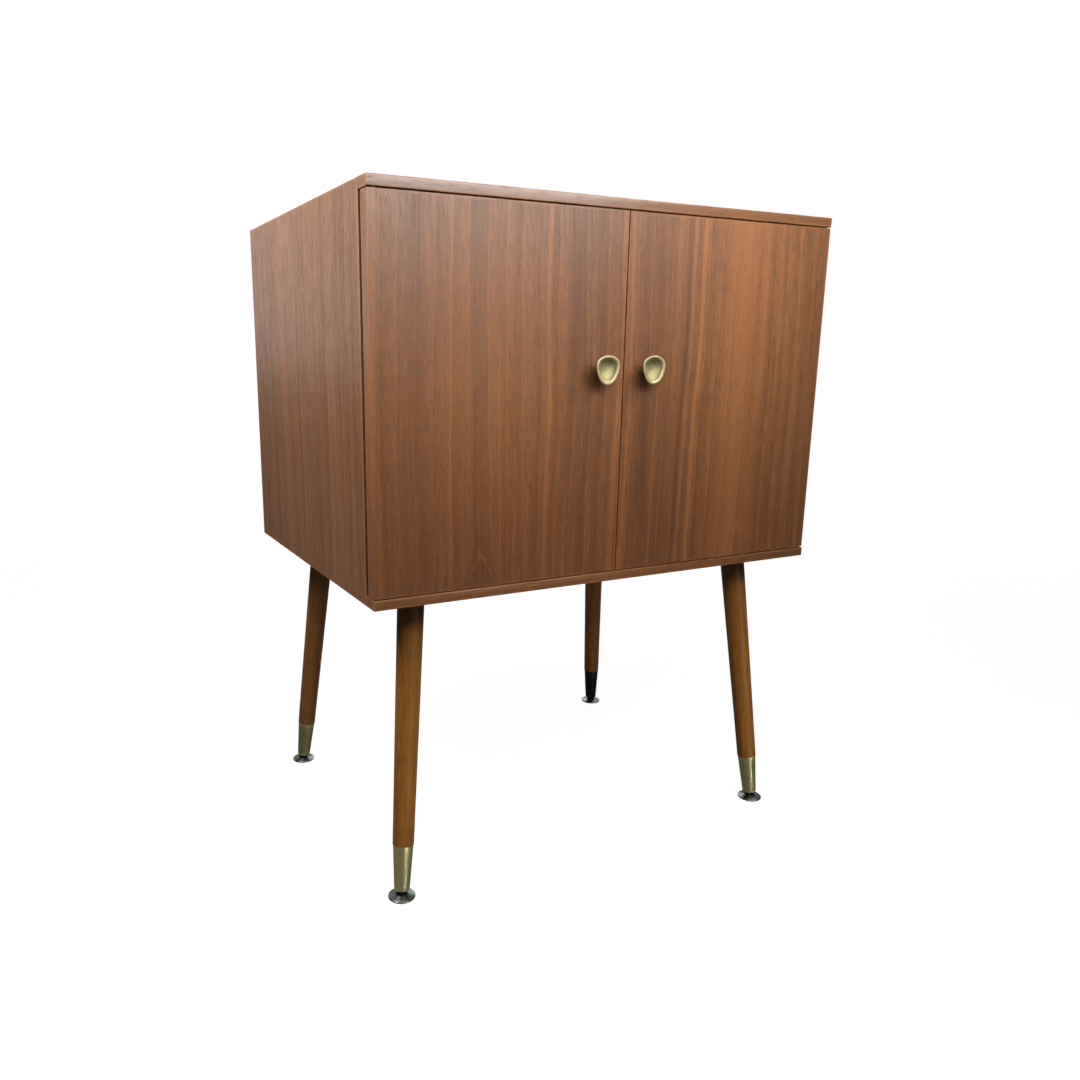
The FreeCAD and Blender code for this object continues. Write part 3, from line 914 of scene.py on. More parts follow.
def arc(
    middle: tuple[float, float], radius: float, start: float, end: float, steps: int, *marks: float
) -> list[tuple[float, ...]]:
    """Points of a round corner in a section.

    Args:
        middle: centre of the corner.
        radius: its radius.
        start: angle of its first point, in degrees.
        end: angle of its last point.
        steps: how many parts it has.
        marks: the mark of wear with painted highlight and the mark of dirt with painted shade of its points.

    Returns:
        The points.
    """
    x, y = middle
    turns = [math.radians(start + (end - start) * n / steps) for n in range(steps + 1)]
    return [(x + radius * math.cos(turn), y + radius * math.sin(turn), *marks) for turn in turns]


# Sub-assemblies


@dataclass
class Dresser:
    """Puts finishes on the solids that stay as they are.

    Args:
        nodes: the solids by name.
        arris: width of the small flat that takes the sharpness off an edge.
    """

    nodes: Mapping[str, bpy.types.Object]
    arris: float = 0.15 * MM

    def dress(self, name: str, material: bpy.types.Material, soften: bool = False) -> None:
        """Gives a solid its finish.

        Args:
            name: the solid's name.
            material: its finish.
            soften: whether its edges are taken off.
        """
        piece = self.nodes[name]
        for holder in piece.material_slots:
            holder.material = material
        if soften:
            self.soften(piece)
        log.info("dressed %s in %s", name, material.name)

    def soften(self, piece: bpy.types.Object) -> None:
        """Takes the sharpness off a solid's edges.

        Args:
            piece: the solid.
        """
        weld = piece.modifiers.new("weld", "WELD")
        weld.merge_threshold = 0.002 * MM
        bevel = piece.modifiers.new("arris", "BEVEL")
        bevel.width = self.arris
        bevel.segments = 2
        bevel.limit_method = "ANGLE"
        bevel.angle_limit = math.radians(35.0)
        bevel.use_clamp_overlap = False
        normals = piece.modifiers.new("normals", "WEIGHTED_NORMAL")
        normals.keep_sharp = False


@dataclass
class Carcass:
    """The veneered box with its partition, dividers and plywood back.

    Args:
        dresser: puts on the finishes.
        layer: thickness of one layer of plywood.
        ease: radius of the eased edges of the front lippings.
    """

    dresser: Dresser
    layer: float = 1.25 * MM
    ease: float = 0.9 * MM

    def front_lipping(self, level: str, wood: Wood) -> None:
        """Makes the lipping along the front of the top or of the bottom, its front edges eased round.

        Args:
            level: "top" or "bottom".
            wood: its finish.
        """
        name = f"{level}_front_lipping"
        low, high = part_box(name)
        radius = self.ease
        profile = [(high.y, low.z)]
        profile += arc((low.y + radius, low.z + radius), radius, -90.0, -180.0, 6)
        profile += arc((low.y + radius, high.z - radius), radius, 180.0, 90.0, 6)
        profile.append((high.y, high.z))
        middle = (low.z + high.z) / 2.0
        form = Form()
        rings = []
        for end, inward in ((low.x, 1.0), (high.x, -1.0)):
            stations = []
            for step, inset in ((0.0, 0.30), (0.09, 0.09), (0.30, 0.0)):
                shrink = 1.0 - 2.0 * inset * MM / (high.z - low.z)
                points = [(max(y, low.y + inset * MM), middle + (z - middle) * shrink) for y, z in profile]
                at = end + inward * step * MM
                stations.append(form.ring(Vector((at, y, z)) for y, z in points))
            rings += stations if inward > 0.0 else stations[::-1]
        form.skin(rings)
        origin = Vector(((low.x + high.x) / 2.0, low.y, 0.0))
        stock = Stock(origin, Axis.Z.unit, Axis.X.unit, (middle + 0.02, 0.05))
        made = form.piece(f"{level}_eased_lipping", wood.make(name, stock, (), (low, high)))
        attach(made, "cabinet")
        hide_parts(name)

    def ply(self, name: str, through: Axis) -> None:
        """Dresses one sheet of plywood.

        Args:
            name: the sheet.
            through: axis through it.
        """
        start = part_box(name)[0][through.value]
        sheet = Ply(f"ply_{name}", *PLY_TONES, self.layer, through, Axis.Z, start)
        self.dresser.dress(name, sheet.make())

    def board(
        self,
        name: str,
        wood: Wood,
        along: Axis,
        across: Axis,
        heart: tuple[float, float],
        streaks: Sequence[Streak] = (),
    ) -> None:
        """Dresses one board.

        Args:
            name: the board.
            wood: its finish.
            along: axis of its grain.
            across: axis over its width.
            heart: middle of its log, from the board's own middle.
            streaks: bands of other colour.
        """
        low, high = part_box(name)
        origin = (low + high) / 2.0
        origin[across.value] = 0.0
        stock = Stock(origin, across.unit, along.unit, heart)
        self.dresser.dress(name, wood.make(name, stock, streaks, (low, high)))

    def build(self) -> None:
        """Dresses every board of the box."""
        for name, depth, wood in (("top", 0.11, SOLID), ("bottom", 0.09, WARM_SOLID)):
            self.board(f"{name}_panel", VENEER, Axis.X, Axis.Y, (0.06, depth))
            self.front_lipping(name, wood)
        lines = (
            Streak(0.151, 0.0045, -0.5),
            Streak(0.090, 0.030, 0.25),
            Streak(0.027, 0.0050, -0.5),
            Streak(-0.083, 0.0045, -0.45),
            Streak(-0.106, 0.0040, 0.45),
        )
        for side in Side:
            self.board(f"{side.label}_side_panel", VENEER, Axis.Z, Axis.Y, (0.05, side.value * 0.12), lines)
            self.board(f"{side.label}_side_lipping", SOLID, Axis.Z, Axis.X, (0.0, 0.05))
            for place in ("inner", "outer"):
                self.ply(f"{side.label}_{place}_divider", Axis.X)
        self.board("centre_partition", VENEER, Axis.Z, Axis.Y, (-0.04, 0.10))
        self.board("centre_partition_lipping", SOLID, Axis.Z, Axis.X, (0.1, 0.05))
        self.ply("back_panel", Axis.Y)
        self.ply("mitre_splines", Axis.Y)


@dataclass
class Doors:
    """The two veneered doors.

    Args:
        dresser: puts on the finishes.
        arches: height of the arch in the figure of the left and of the right door, and how fast it widens.
        arch_at: the middle of each arch.
    """

    dresser: Dresser
    arches: tuple[tuple[float, float], ...] = ((0.404, 24.0), (0.407, 14.0))
    arch_at: tuple[float, float] = (-181.0 * MM, 187.0 * MM)

    def streaks(self, side: Side) -> tuple[Streak, ...]:
        """The bands of other colour in a door's veneer."""
        # Each door's list also holds the painted shade over its lower part.
        if side is Side.LEFT:
            return (
                Streak(-0.301, 0.0050, 0.45),
                Streak(-0.255, 0.0130, -0.32, 0.48, 0.90),
                Streak(-0.213, 0.0026, 0.55),
                Streak(-0.186, 0.0020, -0.50),
                Streak(-0.158, 0.0022, 0.60, 0.30, 0.62),
                Streak(-0.131, 0.0020, 0.40),
                Streak(-0.100, 0.0036, 0.85),
                Streak(-0.083, 0.0022, -0.60),
                Streak(-0.065, 0.0110, -0.60, 0.60, 0.76),
                Streak(-0.050, 0.0480, -0.40),
                Streak(-0.200, 0.1600, 0.30, 0.46, 0.72, 0.10),
                Streak(-0.010, 0.0055, 0.90, 0.30, 0.59),
                PAINTED_SHADE_DOOR_FOOT,
            )
        return (
            PAINTED_SHADE_DOOR_FOOT,
            Streak(0.045, 0.0480, -0.36),
            Streak(0.006, 0.0030, 0.50),
            Streak(0.028, 0.0110, -0.50, 0.44, 0.60),
            Streak(0.047, 0.0020, 0.40, 0.30, 0.62),
            Streak(0.086, 0.0065, -0.60),
            Streak(0.107, 0.0050, 0.80),
            Streak(0.175, 0.0500, 0.60),
            Streak(0.205, 0.0060, 0.55, 0.56, 0.90),
            Streak(0.229, 0.0050, 0.60, 0.58, 0.90),
            Streak(0.275, 0.0200, -0.20),
        )

    def build(self) -> None:
        """Dresses both doors."""
        for side, middle, arch in zip(Side, self.arch_at, self.arches):
            panel = f"{side.label}_door_panel"
            strips = f"{side.label}_door_lippings"
            low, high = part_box(strips)
            stock = Stock(Vector((0.0, low.y, 0.0)), Axis.X.unit, Axis.Z.unit, (middle, 0.0), arch)
            veneer = VENEER.make(f"{side.label}_door", stock, self.streaks(side), (low, high))
            self.dresser.dress(panel, veneer)
            self.dresser.dress(strips, veneer)


@dataclass
class Pulls:
    """The cast pulls: a round base, a waist, and a flare that ends in a scooped, egg-shaped dish.

    Args:
        apart: from one pull's middle to the other's.
        height: of their middles.
        reach: from the door to the rim.
        half: half width and half height of the rim.
        neck: radius of the waist.
        base: radius of the base.
        rim: thickness of the rim.
        depth: of the dish.
        taper: narrows the dish towards its lower end.
        fullness: widens its upper end.
        scoop: how far the deepest point lies above the middle.
        lean: how far the rim lies beside the base.
        count: corners of a section.
    """

    apart: float = 63.0 * MM
    height: float = 602.0 * MM
    reach: float = 18.0 * MM
    half: tuple[float, float] = (15.2 * MM, 16.2 * MM)
    neck: float = 4.6 * MM
    base: float = 6.0 * MM
    rim: float = 3.6 * MM
    depth: float = 7.6 * MM
    taper: float = 0.22
    fullness: float = 0.12
    scoop: float = 2.0 * MM
    lean: float = -2.0 * MM
    count: int = 40

    def egg(self, reach: float, size: float, inset: float, lift: float = 0.0) -> list[Vector]:
        """One section parallel to the door, broad end up.

        Args:
            reach: distance from the door.
            size: 0 at the neck, 1 at the rim.
            inset: how far it lies inside that outline.
            lift: how far it is moved up.

        Returns:
            The points of the section.
        """
        wide, tall = (self.neck + size * (half - self.neck) - inset for half in self.half)
        points = []
        for n in range(self.count):
            turn = 2.0 * math.pi * n / self.count
            rise = math.sin(turn)
            broad = 1.0 + size * (self.taper * rise + self.fullness * rise * rise)
            points.append(Vector((wide * math.cos(turn) * broad, -reach, tall * rise + lift)))
        return points

    def sections(self) -> list[tuple[list[Vector], list[float]]]:
        """Sections from the door to the rim and down into the dish, each with its mark of wear with painted
        highlight and its mark of dirt with painted shade.
        """
        swell = self.neck - self.base
        # Share of the reach, size and inset, then the wear-and-highlight and the dirt-and-shade mark where
        # they aren't 0: painted highlight towards the rim, painted shade at the door.
        outside = (
            (0.00, 0.00, swell, 0.0, 0.9), (0.03, 0.00, swell, 0.0, 0.5),
            (0.11, 0.00, swell * 0.55, 0.0, 0.1), (0.20, 0.00, swell * 0.12), (0.32, 0.03, 0.0),
            (0.44, 0.12, 0.0), (0.56, 0.28, 0.0), (0.68, 0.52, 0.0), (0.78, 0.77, 0.0, 0.1),
            (0.86, 0.92, 0.0, 0.3), (0.92, 0.985, 0.0, 0.7), (0.965, 1.00, 0.0, 1.0),
        )
        # Share of the depth, size and inset as a share of the rim, then the wear-and-highlight and the
        # dirt-and-shade mark where they aren't 0: painted highlight on the rim, painted shade deep in the
        # dish.
        inside = (
            (0.012, 1.00, 0.14, 1.0), (0.00, 1.00, 0.40, 1.0), (0.015, 1.00, 0.74, 0.9),
            (0.08, 1.00, 1.00, 0.4), (0.22, 0.97, 1.12), (0.42, 0.90, 1.20), (0.62, 0.78, 1.25, 0.0, 0.1),
            (0.80, 0.60, 1.20, 0.0, 0.2), (0.92, 0.38, 1.10, 0.0, 0.2), (0.985, 0.14, 1.00, 0.0, 0.2),
            (1.00, 0.00, 1.20, 0.0, 0.2),
        )
        rings = [(self.egg(at * self.reach, size, inset), marks) for at, size, inset, *marks in outside]
        for down, size, inset, *marks in inside:
            level = self.reach - down * self.depth
            rings.append((self.egg(level, size, inset * self.rim, self.scoop * down), marks))
        return rings

    def build(self) -> None:
        """Makes both pulls."""
        brass = PULL_BRASS.make()
        for side in Side:
            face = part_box(f"{side.label}_pull")[1].y
            shift = Vector((side.value * self.apart / 2.0, face, self.height))
            form = Form()
            rings = []
            for points, marks in self.sections():
                aside = Vector((self.lean * -points[0].y / self.reach, 0.0, 0.0))
                rings.append(form.ring([point + shift + aside for point in points], *marks))
            form.skin(rings)
            pull = form.piece(f"{side.label}_cast_pull", brass, 60.0, 2)
            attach(pull, f"{side.label}_door")
            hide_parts(f"{side.label}_pull")


@dataclass
class Legs:
    """The turned legs, their spun ferrules and their swivelling glides.

    Args:
        dresser: puts on the finishes.
        joints: the joints of the frame.
        top: height of the underside of the box.
        tones: how light the wood of each leg is, the front ones first and the left one of each pair first.
        foot_rise: from the middle of a glide's ball to the foot of the ferrule.
        ferrule_length: along the leg's axis.
        rim_radius: of the ferrule's upper end.
        foot_radius: of its lower end.
        wall: its thickness.
        base: thickness of its closed foot.
        bore: radius of the stem's hole in the foot.
        corner: rounding of the foot's edge.
        lip: rounding of the rim.
    """

    dresser: Dresser
    joints: Sequence[Mapping[str, Any]]
    top: float = 357.0 * MM
    tones: tuple[tuple[float, float], ...] = ((0.84, 0.97), (0.68, 1.45))
    foot_rise: float = 5.2 * MM
    ferrule_length: float = 55.0 * MM
    rim_radius: float = 12.1 * MM
    foot_radius: float = 9.1 * MM
    wall: float = 0.8 * MM
    base: float = 1.2 * MM
    bore: float = 3.05 * MM
    corner: float = 1.1 * MM
    lip: float = 0.35 * MM

    def ball(self, name: str) -> Vector:
        """The middle of a glide's ball."""
        joint = next(joint for joint in self.joints if joint["name"] == f"{name}_glide_swivel")
        return Vector(joint["pos_m"])

    def axis(self, name: str) -> tuple[Vector, Vector]:
        """Where a leg's axis meets the box, and its direction upwards.

        Args:
            name: the leg.

        Returns:
            The point and the direction.
        """
        low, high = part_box(f"{name}_leg_plate")
        origin = Vector(((low.x + high.x) / 2.0, (low.y + high.y) / 2.0, self.top))
        return origin, (origin - self.ball(name)).normalized()

    def wood(self, name: str, end: End, tone: float) -> bpy.types.Material:
        """The finish of one leg, its grain along its axis.

        Args:
            name: the leg.
            end: whether it is a front or a back leg.
            tone: how light its wood is.

        Returns:
            The material.
        """
        origin, up = self.axis(name)
        across = up.cross(Vector((0.3, 1.0, 0.0))).normalized()
        heart = (0.028, 0.022) if name.endswith("left") else (-0.020, 0.030)
        # The back legs take the darker copy of the wood, as painted shade.
        finish = PAINTED_SHADE_BACK_LEG_WOOD if end is End.BACK else LEG_WOOD
        return finish.toned(tone).make(name, Stock(origin, across, up, heart))

    def ferrule(self, name: str, brass: bpy.types.Material) -> None:
        """Makes one ferrule, rounded at the foot and at the rim.

        Args:
            name: the leg.
            brass: its finish.
        """
        _, up = self.axis(name)
        foot = self.ball(name) + up * self.foot_rise
        length, corner, lip = self.ferrule_length, self.corner, self.lip
        slope = (self.rim_radius - self.foot_radius) / length
        steps = 8
        inner_rim = self.rim_radius - self.wall
        # The bore and the inside carry dirt and painted shade, the rounded foot and the rim wear and a
        # painted highlight.
        dirt_and_shade_mark = (0.0, 1.0)
        section = [(self.bore, self.base, *dirt_and_shade_mark), (self.bore, 0.0, *dirt_and_shade_mark)]
        section += arc((self.foot_radius - corner, corner), corner, -90.0, 0.0, 6, 0.7)
        levels = [length * n / steps for n in range(1, steps)]
        section += [(self.foot_radius + slope * level, level) for level in levels]
        section += arc((self.rim_radius - lip, length - lip), lip, 0.0, 90.0, 4, 0.8)
        section += [(inner_rim, length, *dirt_and_shade_mark), (inner_rim, length - 1.0 * MM, *dirt_and_shade_mark)]
        section += [(self.foot_radius - self.wall, self.base, *dirt_and_shade_mark), (self.bore, self.base, *dirt_and_shade_mark)]
        form = Form()
        form.lathe(section, foot, up)
        bmesh.ops.remove_doubles(form.mesh, verts=form.mesh.verts, dist=0.0001 * MM)
        made = form.piece(f"{name}_spun_ferrule", brass)
        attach(made, "cabinet")
        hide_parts(f"{name}_ferrule")

    def glide(self, name: str, steel: bpy.types.Material) -> None:
        """Makes one pressed glide base.

        Args:
            name: the leg.
            steel: its finish.
        """
        ball = self.ball(name)
        foot = Vector((ball.x, ball.y, 0.0))
        # In millimetres: the flat foot, the rolled rim, the dome, the neck and the socket of the ball. The
        # rim carries wear and a painted highlight, the neck and the socket dirt and painted shade.
        profile = [(0.0, 0.0), (14.9, 0.0), *arc((15.1, 0.9), 0.9, -90.0, 0.0, 5, 0.3)[1:]]
        profile += arc((14.9, 1.3), 1.1, 0.0, 75.0, 5, 0.6)
        profile += [(12.5, 2.75), (9.6, 3.2), (7.4, 3.55, 0.0, 0.3)]
        profile += [(6.4, 3.95, 0.0, 0.9), (5.85, 4.5, 0.0, 1.0), (5.6, 5.2, 0.0, 1.0)]
        profile += arc((5.1, 5.7), 0.5, 0.0, 90.0, 4, 0.0, 1.0)
        profile += [(3.2, 6.2, 0.0, 1.0), (2.9, 6.0, 0.0, 1.0), (2.9, 5.9, 0.0, 1.0), (3.5, 5.0, 0.0, 1.0)]
        profile += [(3.5, 0.6), (0.0, 0.6)]
        form = Form()
        form.lathe([(radius * MM, rise * MM, *marks) for radius, rise, *marks in profile], foot, Axis.Z.unit)
        made = form.piece(f"{name}_pressed_glide", steel, 45.0)
        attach(made, f"{name}_glide")
        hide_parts(f"{name}_glide_base")

    def build(self) -> None:
        """Dresses and makes all four legs."""
        brass = FERRULE_BRASS.make()
        # The back left ferrule takes the darker brass as painted shade, the back right one the nearly black
        # brass.
        darker_ferrule_brass = {"back_left": PAINTED_SHADE_BRASS.make(), "back_right": NEAR_BLACK_BRASS.make()}
        steel = GLIDE_STEEL.make()
        plate = DARK_STEEL.make()
        for end, tones in zip(End, self.tones):
            for side, tone in zip(Side, tones):
                name = f"{end.label}_{side.label}"
                self.dresser.dress(f"{name}_leg", self.wood(name, end, tone))
                self.dresser.dress(f"{name}_leg_plate", plate)
                self.ferrule(name, darker_ferrule_brass.get(name, brass))
                self.glide(name, steel)
        self.dresser.dress("glide_stems", steel)
        self.dresser.dress("hanger_bolts", plate)


@dataclass(frozen=True)
class Spot:
    """One screw of a group: where its head lies and where it points.

    Args:
        head: middle of the head's face.
        inward: direction in which it was driven.
        radius: of the head.
        shank: radius of the shank.
        length: of the whole screw.
    """

    head: Vector
    inward: Vector
    radius: float
    shank: float
    length: float


@dataclass
class Screws:
    """Countersunk cross-slot screws in the places of the plain ones.

    Args:
        nodes: the solids by name.
        count: corners of a ring of a screw. The cross slot has as many.
    """

    nodes: Mapping[str, bpy.types.Object]
    count: int = 24

    def islands(self, name: str) -> list[list[Vector]]:
        """The separate bodies of one node.

        Args:
            name: the node.

        Returns:
            The corners of each body.
        """
        form = bmesh.new()
        form.from_mesh(self.nodes[name].data)
        bmesh.ops.remove_doubles(form, verts=form.verts, dist=0.002 * MM)
        form.verts.ensure_lookup_table()
        seen: set[int] = set()
        groups = []
        for start in form.verts:
            if start.index in seen:
                continue
            seen.add(start.index)
            stack, corners_of = [start], []
            while stack:
                corner = stack.pop()
                corners_of.append(corner.co.copy())
                for edge in corner.link_edges:
                    other = edge.other_vert(corner)
                    if other.index not in seen:
                        seen.add(other.index)
                        stack.append(other)
            groups.append(corners_of)
        form.free()
        return groups

    @staticmethod
    def spot(points: Sequence[Vector]) -> Spot:
        """Reads place, direction and size of a screw from its corners.

        Args:
            points: the corners.

        Returns:
            The screw.
        """
        low = Vector([min(point[n] for point in points) for n in range(3)])
        high = Vector([max(point[n] for point in points) for n in range(3)])
        size = high - low
        along = max(range(3), key=lambda n: size[n])
        middle = (low + high) / 2.0
        reach = 0.02 * MM

        def radius_at(level: float) -> float:
            """The widest reach of the corners at one level."""
            ends = [point - middle for point in points if abs(point[along] - level) < reach]
            return max(math.hypot(*(end[n] for n in range(3) if n != along)) for end in ends)

        first, last = radius_at(low[along]), radius_at(high[along])
        head = middle.copy()
        inward = Vector((0.0, 0.0, 0.0))
        head[along] = low[along] if first > last else high[along]
        inward[along] = 1.0 if first > last else -1.0
        return Spot(head, inward, max(first, last), min(first, last), size[along])

    def add(self, form: Form, spot: Spot) -> None:
        """Adds one screw to a mesh.

        Args:
            form: the mesh.
            spot: the screw.
        """
        turn = (-spot.inward).to_track_quat("Z", "X")
        radius, shank = spot.radius, spot.shank

        def ring(size: float, height: float) -> Ring:
            """One round ring of the screw."""
            angles = [2.0 * math.pi * n / self.count for n in range(self.count)]
            spots = [Vector((size * math.cos(a), size * math.sin(a), height)) for a in angles]
            return form.ring(spot.head + turn @ place for place in spots)

        def cross(size: float, slot: float, height: float) -> Ring:
            """One ring of the cross slot."""
            outline = []
            for quarter in range(4):
                a = quarter * math.pi / 2.0
                across = Vector((math.cos(a), math.sin(a), 0.0))
                aside = Vector((-math.sin(a), math.cos(a), 0.0))
                outline += [across * size - aside * slot, across * size, across * size + aside * slot]
                outline += [across * size * 0.5 + aside * slot, (across + aside) * slot]
                outline.append(across * slot + aside * size * 0.5)
            shifted = outline[1:] + outline[:1]
            return form.ring(spot.head + turn @ (place + Vector((0.0, 0.0, height))) for place in shifted)

        top = -0.01 * radius
        floor = top - radius * 0.55
        body = [ring(shank, -spot.length), ring(shank, shank - radius)]
        rim = [ring(radius * 0.985, -0.04 * radius), ring(radius * 0.95, top), ring(radius * 0.66, top)]
        slot = [cross(radius * 0.56, radius * 0.10, top), cross(radius * 0.30, radius * 0.05, floor)]
        form.skin(body + rim + slot)

    def build(self, name: str, body: str, material: bpy.types.Material, slot: str) -> None:
        """Makes the screws of one node.

        Args:
            name: the node.
            body: the body that they move with.
            material: their finish.
            slot: a name for that finish; not used.
        """
        form = Form()
        for points in self.islands(name):
            self.add(form, self.spot(points))
        made = form.piece(f"{name}_cross_slot", material)
        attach(made, body)
        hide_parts(name)


@dataclass
class Fittings:
    """Hinges, catches and screws.

    Args:
        dresser: puts on the finishes.
        screws: makes the screws.
    """

    dresser: Dresser
    screws: Screws

    def build(self) -> None:
        """Dresses the fittings and makes the screws."""
        brass = HINGE_BRASS.make()
        steel = STEEL.make()
        plastic = CATCH_PLASTIC.make()
        magnet = DARK_STEEL.make()
        for name in ("hinge_pins", "hinge_washers", "upper_carcass_leaves", "lower_carcass_leaves"):
            self.dresser.dress(name, brass)
        for side in Side:
            self.dresser.dress(f"{side.label}_door_hinge_leaves", brass)
            self.dresser.dress(f"{side.label}_strike_plate", steel)
            self.dresser.dress(f"{side.label}_catch_housing", plastic, True)
            self.dresser.dress(f"{side.label}_catch_magnet", magnet)
            self.screws.build(f"{side.label}_door_screws", f"{side.label}_door", steel, "steel")
            self.dresser.dress(f"{side.label}_pull_screw", steel)
        self.screws.build("carcass_leaf_screws", "cabinet", brass, "hinge_brass")
        for name in ("catch_screws", "back_panel_screws", "leg_plate_screws"):
            self.screws.build(name, "cabinet", steel, "steel")


@dataclass
class Studio:
    """A pale floor, soft lamps and the camera.

    Args:
        eye: where the camera stands.
        forward: the direction it looks in.
        right: the direction to its right.
        focal: focal length in pixels of a frame of the size below.
        centre: the pixel that the camera looks at.
        frame: width and height of the frame.
        sensor: width of the sensor in millimetres.
        room: strength of the even light of the room.
        mirrored: how bright the room looks in a reflection.
        floor_mirrored: how bright the floor looks in a reflection.
        paper: how pale the floor is.
        lift: light of its own by which the floor looks nearly white.
        fade: distances from the middle between which the floor turns white.
    """

    eye: Vector = field(default_factory=lambda: Vector((-0.6158, -1.0497, 0.6210)))
    forward: Vector = field(default_factory=lambda: Vector((0.4358, 0.8716, -0.2245)))
    right: Vector = field(default_factory=lambda: Vector((0.8948, -0.4464, 0.0037)))
    focal: float = 880.7
    centre: tuple[float, float] = (463.6, 555.0)
    frame: float = 1080.0
    sensor: float = 36.0
    room: float = 0.04
    mirrored: float = 0.07
    floor_mirrored: float = 0.04
    paper: float = 0.14
    lift: float = 0.92
    fade: tuple[float, float] = (1.0, 2.6)

    def camera(self) -> None:
        """Makes the scene's camera."""
        data = bpy.data.cameras.new("camera")
        data.sensor_width = self.sensor
        data.lens = self.focal / self.frame * self.sensor
        data.shift_x = (self.frame / 2.0 - self.centre[0]) / self.frame
        data.shift_y = (self.centre[1] - self.frame / 2.0) / self.frame
        data.clip_start = 0.01
        data.clip_end = 60.0
        forward = self.forward.normalized()
        right = (self.right - forward * self.right.dot(forward)).normalized()
        up = right.cross(forward)
        turn = Matrix((right, up, -forward)).transposed()
        camera = bpy.data.objects.new("camera", data)
        camera.matrix_world = Matrix.Translation(self.eye) @ turn.to_4x4()
        bpy.context.scene.collection.objects.link(camera)
        bpy.context.scene.camera = camera

    def lamp(
        self,
        name: str,
        at: Vector,
        aim: Vector,
        size: tuple[float, float],
        watts: float,
        colour: Colour,
        spread: float = 180.0,
    ) -> None:
        """Hangs one soft lamp.

        Args:
            name: the lamp's name.
            at: where it hangs.
            aim: the point that it faces.
            size: its width and height.
            watts: its power.
            colour: its colour.
            spread: angle of its beam, in degrees.
        """
        data = bpy.data.lights.new(name, "AREA")
        data.shape = "RECTANGLE"
        data.size, data.size_y = size
        data.energy = watts
        data.color = colour
        data.spread = math.radians(spread)
        lamp = bpy.data.objects.new(name, data)
        lamp.location = at
        lamp.rotation_mode = "QUATERNION"
        lamp.rotation_quaternion = (aim - at).to_track_quat("-Z", "Y")
        bpy.context.scene.collection.objects.link(lamp)

    def world(self) -> None:
        """Fills the room with even light, and shows it white behind the object."""
        recipe = Recipe(bpy.data.worlds.new("room"))
        seen = self.seen(recipe, self.mirrored)
        level = recipe.value("ShaderNodeMapRange", {}, {"Value": seen, "To Min": self.room, "To Max": 1.0})
        light = recipe.value("ShaderNodeBackground", {}, {"Color": WHITE, "Strength": level})
        recipe.node("ShaderNodeOutputWorld", {}, {"Surface": light})
        bpy.context.scene.world = recipe.owner

    @staticmethod
    def seen(recipe: Recipe, mirrored: float) -> Field:
        """How much of a thing a ray sees: all if it comes from the camera or through glass.

        Args:
            recipe: the shader.
            mirrored: how much it sees in a reflection.

        Returns:
            The share.
        """
        paths = recipe.node("ShaderNodeLightPath")
        rays = ("Is Camera Ray", "Is Glossy Ray", "Is Transmission Ray")
        camera, glossy, through = (Field(recipe, paths.outputs[ray]) for ray in rays)
        return recipe.math("MAXIMUM", recipe.math("MAXIMUM", camera, glossy * mirrored), through)

    def floor(self) -> None:
        """Lays the pale floor, which fades into the white of the room."""
        form = bmesh.new()
        bmesh.ops.create_grid(form, x_segments=8, y_segments=8, size=25.0)
        mesh = bpy.data.meshes.new("floor")
        form.to_mesh(mesh)
        form.free()
        floor = bpy.data.objects.new("floor", mesh)
        bpy.context.scene.collection.objects.link(floor)
        recipe = Recipe(bpy.data.materials.new("floor"))
        place = recipe.place()
        away = recipe.vector("LENGTH", place, output=1)
        seen = self.seen(recipe, self.floor_mirrored)
        grain = recipe.noise(place, Vector((30.0,) * 3), 3.0)
        paper = recipe.mix(grain, (self.paper - 0.01,) * 3, (self.paper + 0.01,) * 3)
        matt = recipe.value("ShaderNodeBsdfDiffuse", {}, {"Color": paper})
        lift = recipe.value("ShaderNodeEmission", {}, {"Color": WHITE, "Strength": seen * self.lift})
        near = recipe.value("ShaderNodeAddShader", {}, {0: matt, 1: lift})
        white = recipe.value("ShaderNodeEmission", {}, {"Color": WHITE, "Strength": 1.0})
        fade = away.rise(*self.fade) * seen
        top = recipe.value("ShaderNodeMixShader", {}, {0: fade, 1: near, 2: white})
        clear = recipe.value("ShaderNodeBsdfTransparent")
        under = recipe.value("ShaderNodeNewGeometry", output=6)
        both = recipe.value("ShaderNodeMixShader", {}, {0: under, 1: top, 2: clear})
        recipe.node("ShaderNodeOutputMaterial", {}, {"Surface": both})
        mesh.materials.append(recipe.owner)
        floor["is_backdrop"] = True

    def build(self) -> None:
        """Sets up floor, room, lamps and camera."""
        self.floor()
        self.world()
        middle = (0.0, 0.0, 0.45)
        lamps = (
            ("key", (-0.07, -0.90, 1.00), (-0.07, -0.22, 0.84), (1.1, 0.28), 10.4, COOL),
            ("spot", (0.50, -0.62, 1.15), (0.12, -0.22, 0.76), (0.16, 0.16), 0.30, WHITE, 50.0),
            ("low", (0.35, -1.90, 0.14), (0.0, -0.16, 0.03), (0.50, 0.20), 0.36, WHITE, 22.0),
            ("side", (-0.82, -0.05, 1.25), (-0.305, 0.0, 0.80), (0.5, 0.4), 13.0, WHITE),
            ("sky", (-1.10, 3.00, 1.35), (-0.305, 0.2, 0.75), (1.6, 1.6), 8.5, COOL),
            ("back", (1.3, 2.2, 1.5), middle, (1.4, 1.2), 18.0, WHITE),
            ("top", (1.3, 0.6, 2.2), middle, (1.4, 1.2), 14.0, WHITE),
        )
        for name, at, aim, *rest in lamps:
            self.lamp(name, Vector(at), Vector(aim), *rest)
        bpy.context.scene.view_settings.view_transform = "Standard"
        self.camera()
        log.info("studio is set")


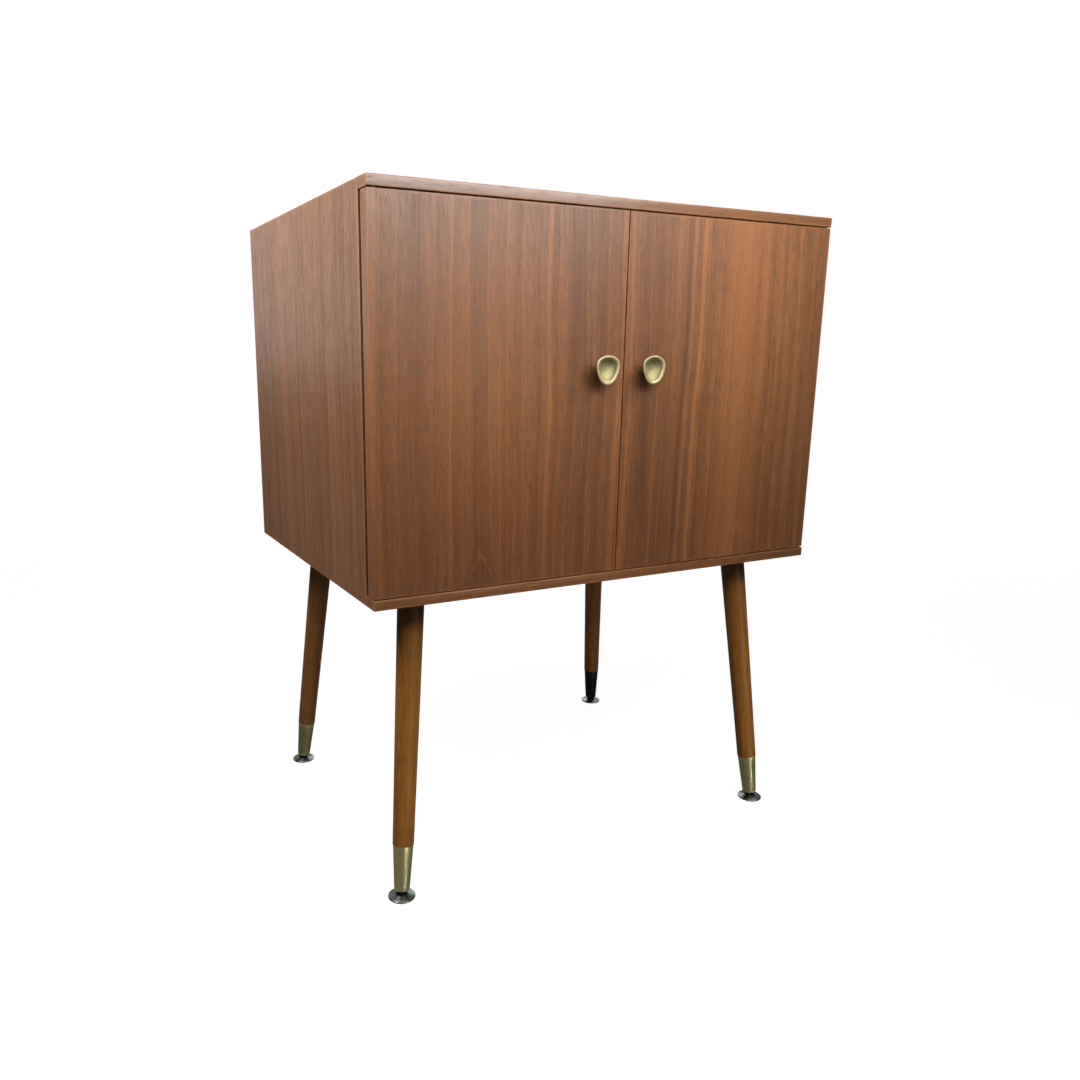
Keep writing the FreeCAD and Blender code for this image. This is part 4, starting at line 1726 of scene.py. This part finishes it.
def corners(low: Vector, high: Vector) -> list[list[float]]:
    """Two corners of a box as plain lists."""
    return [list(low), list(high)]


def main() -> None:
    """Dresses the cabinet, piece by piece, and sets up the studio."""
    logging.basicConfig(level=logging.INFO, format="%(name)s: %(message)s")
    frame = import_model()
    cad_box = corners(*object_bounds())
    dresser = Dresser(frame["nodes"])
    Carcass(dresser).build()
    Doors(dresser).build()
    Pulls().build()
    Legs(dresser, frame["joints"]).build()
    Fittings(dresser, Screws(frame["nodes"])).build()
    Studio().build()
    sizes = {"cad": cad_box, "visual": corners(*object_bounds())}


if __name__ == "__main__":
    main()
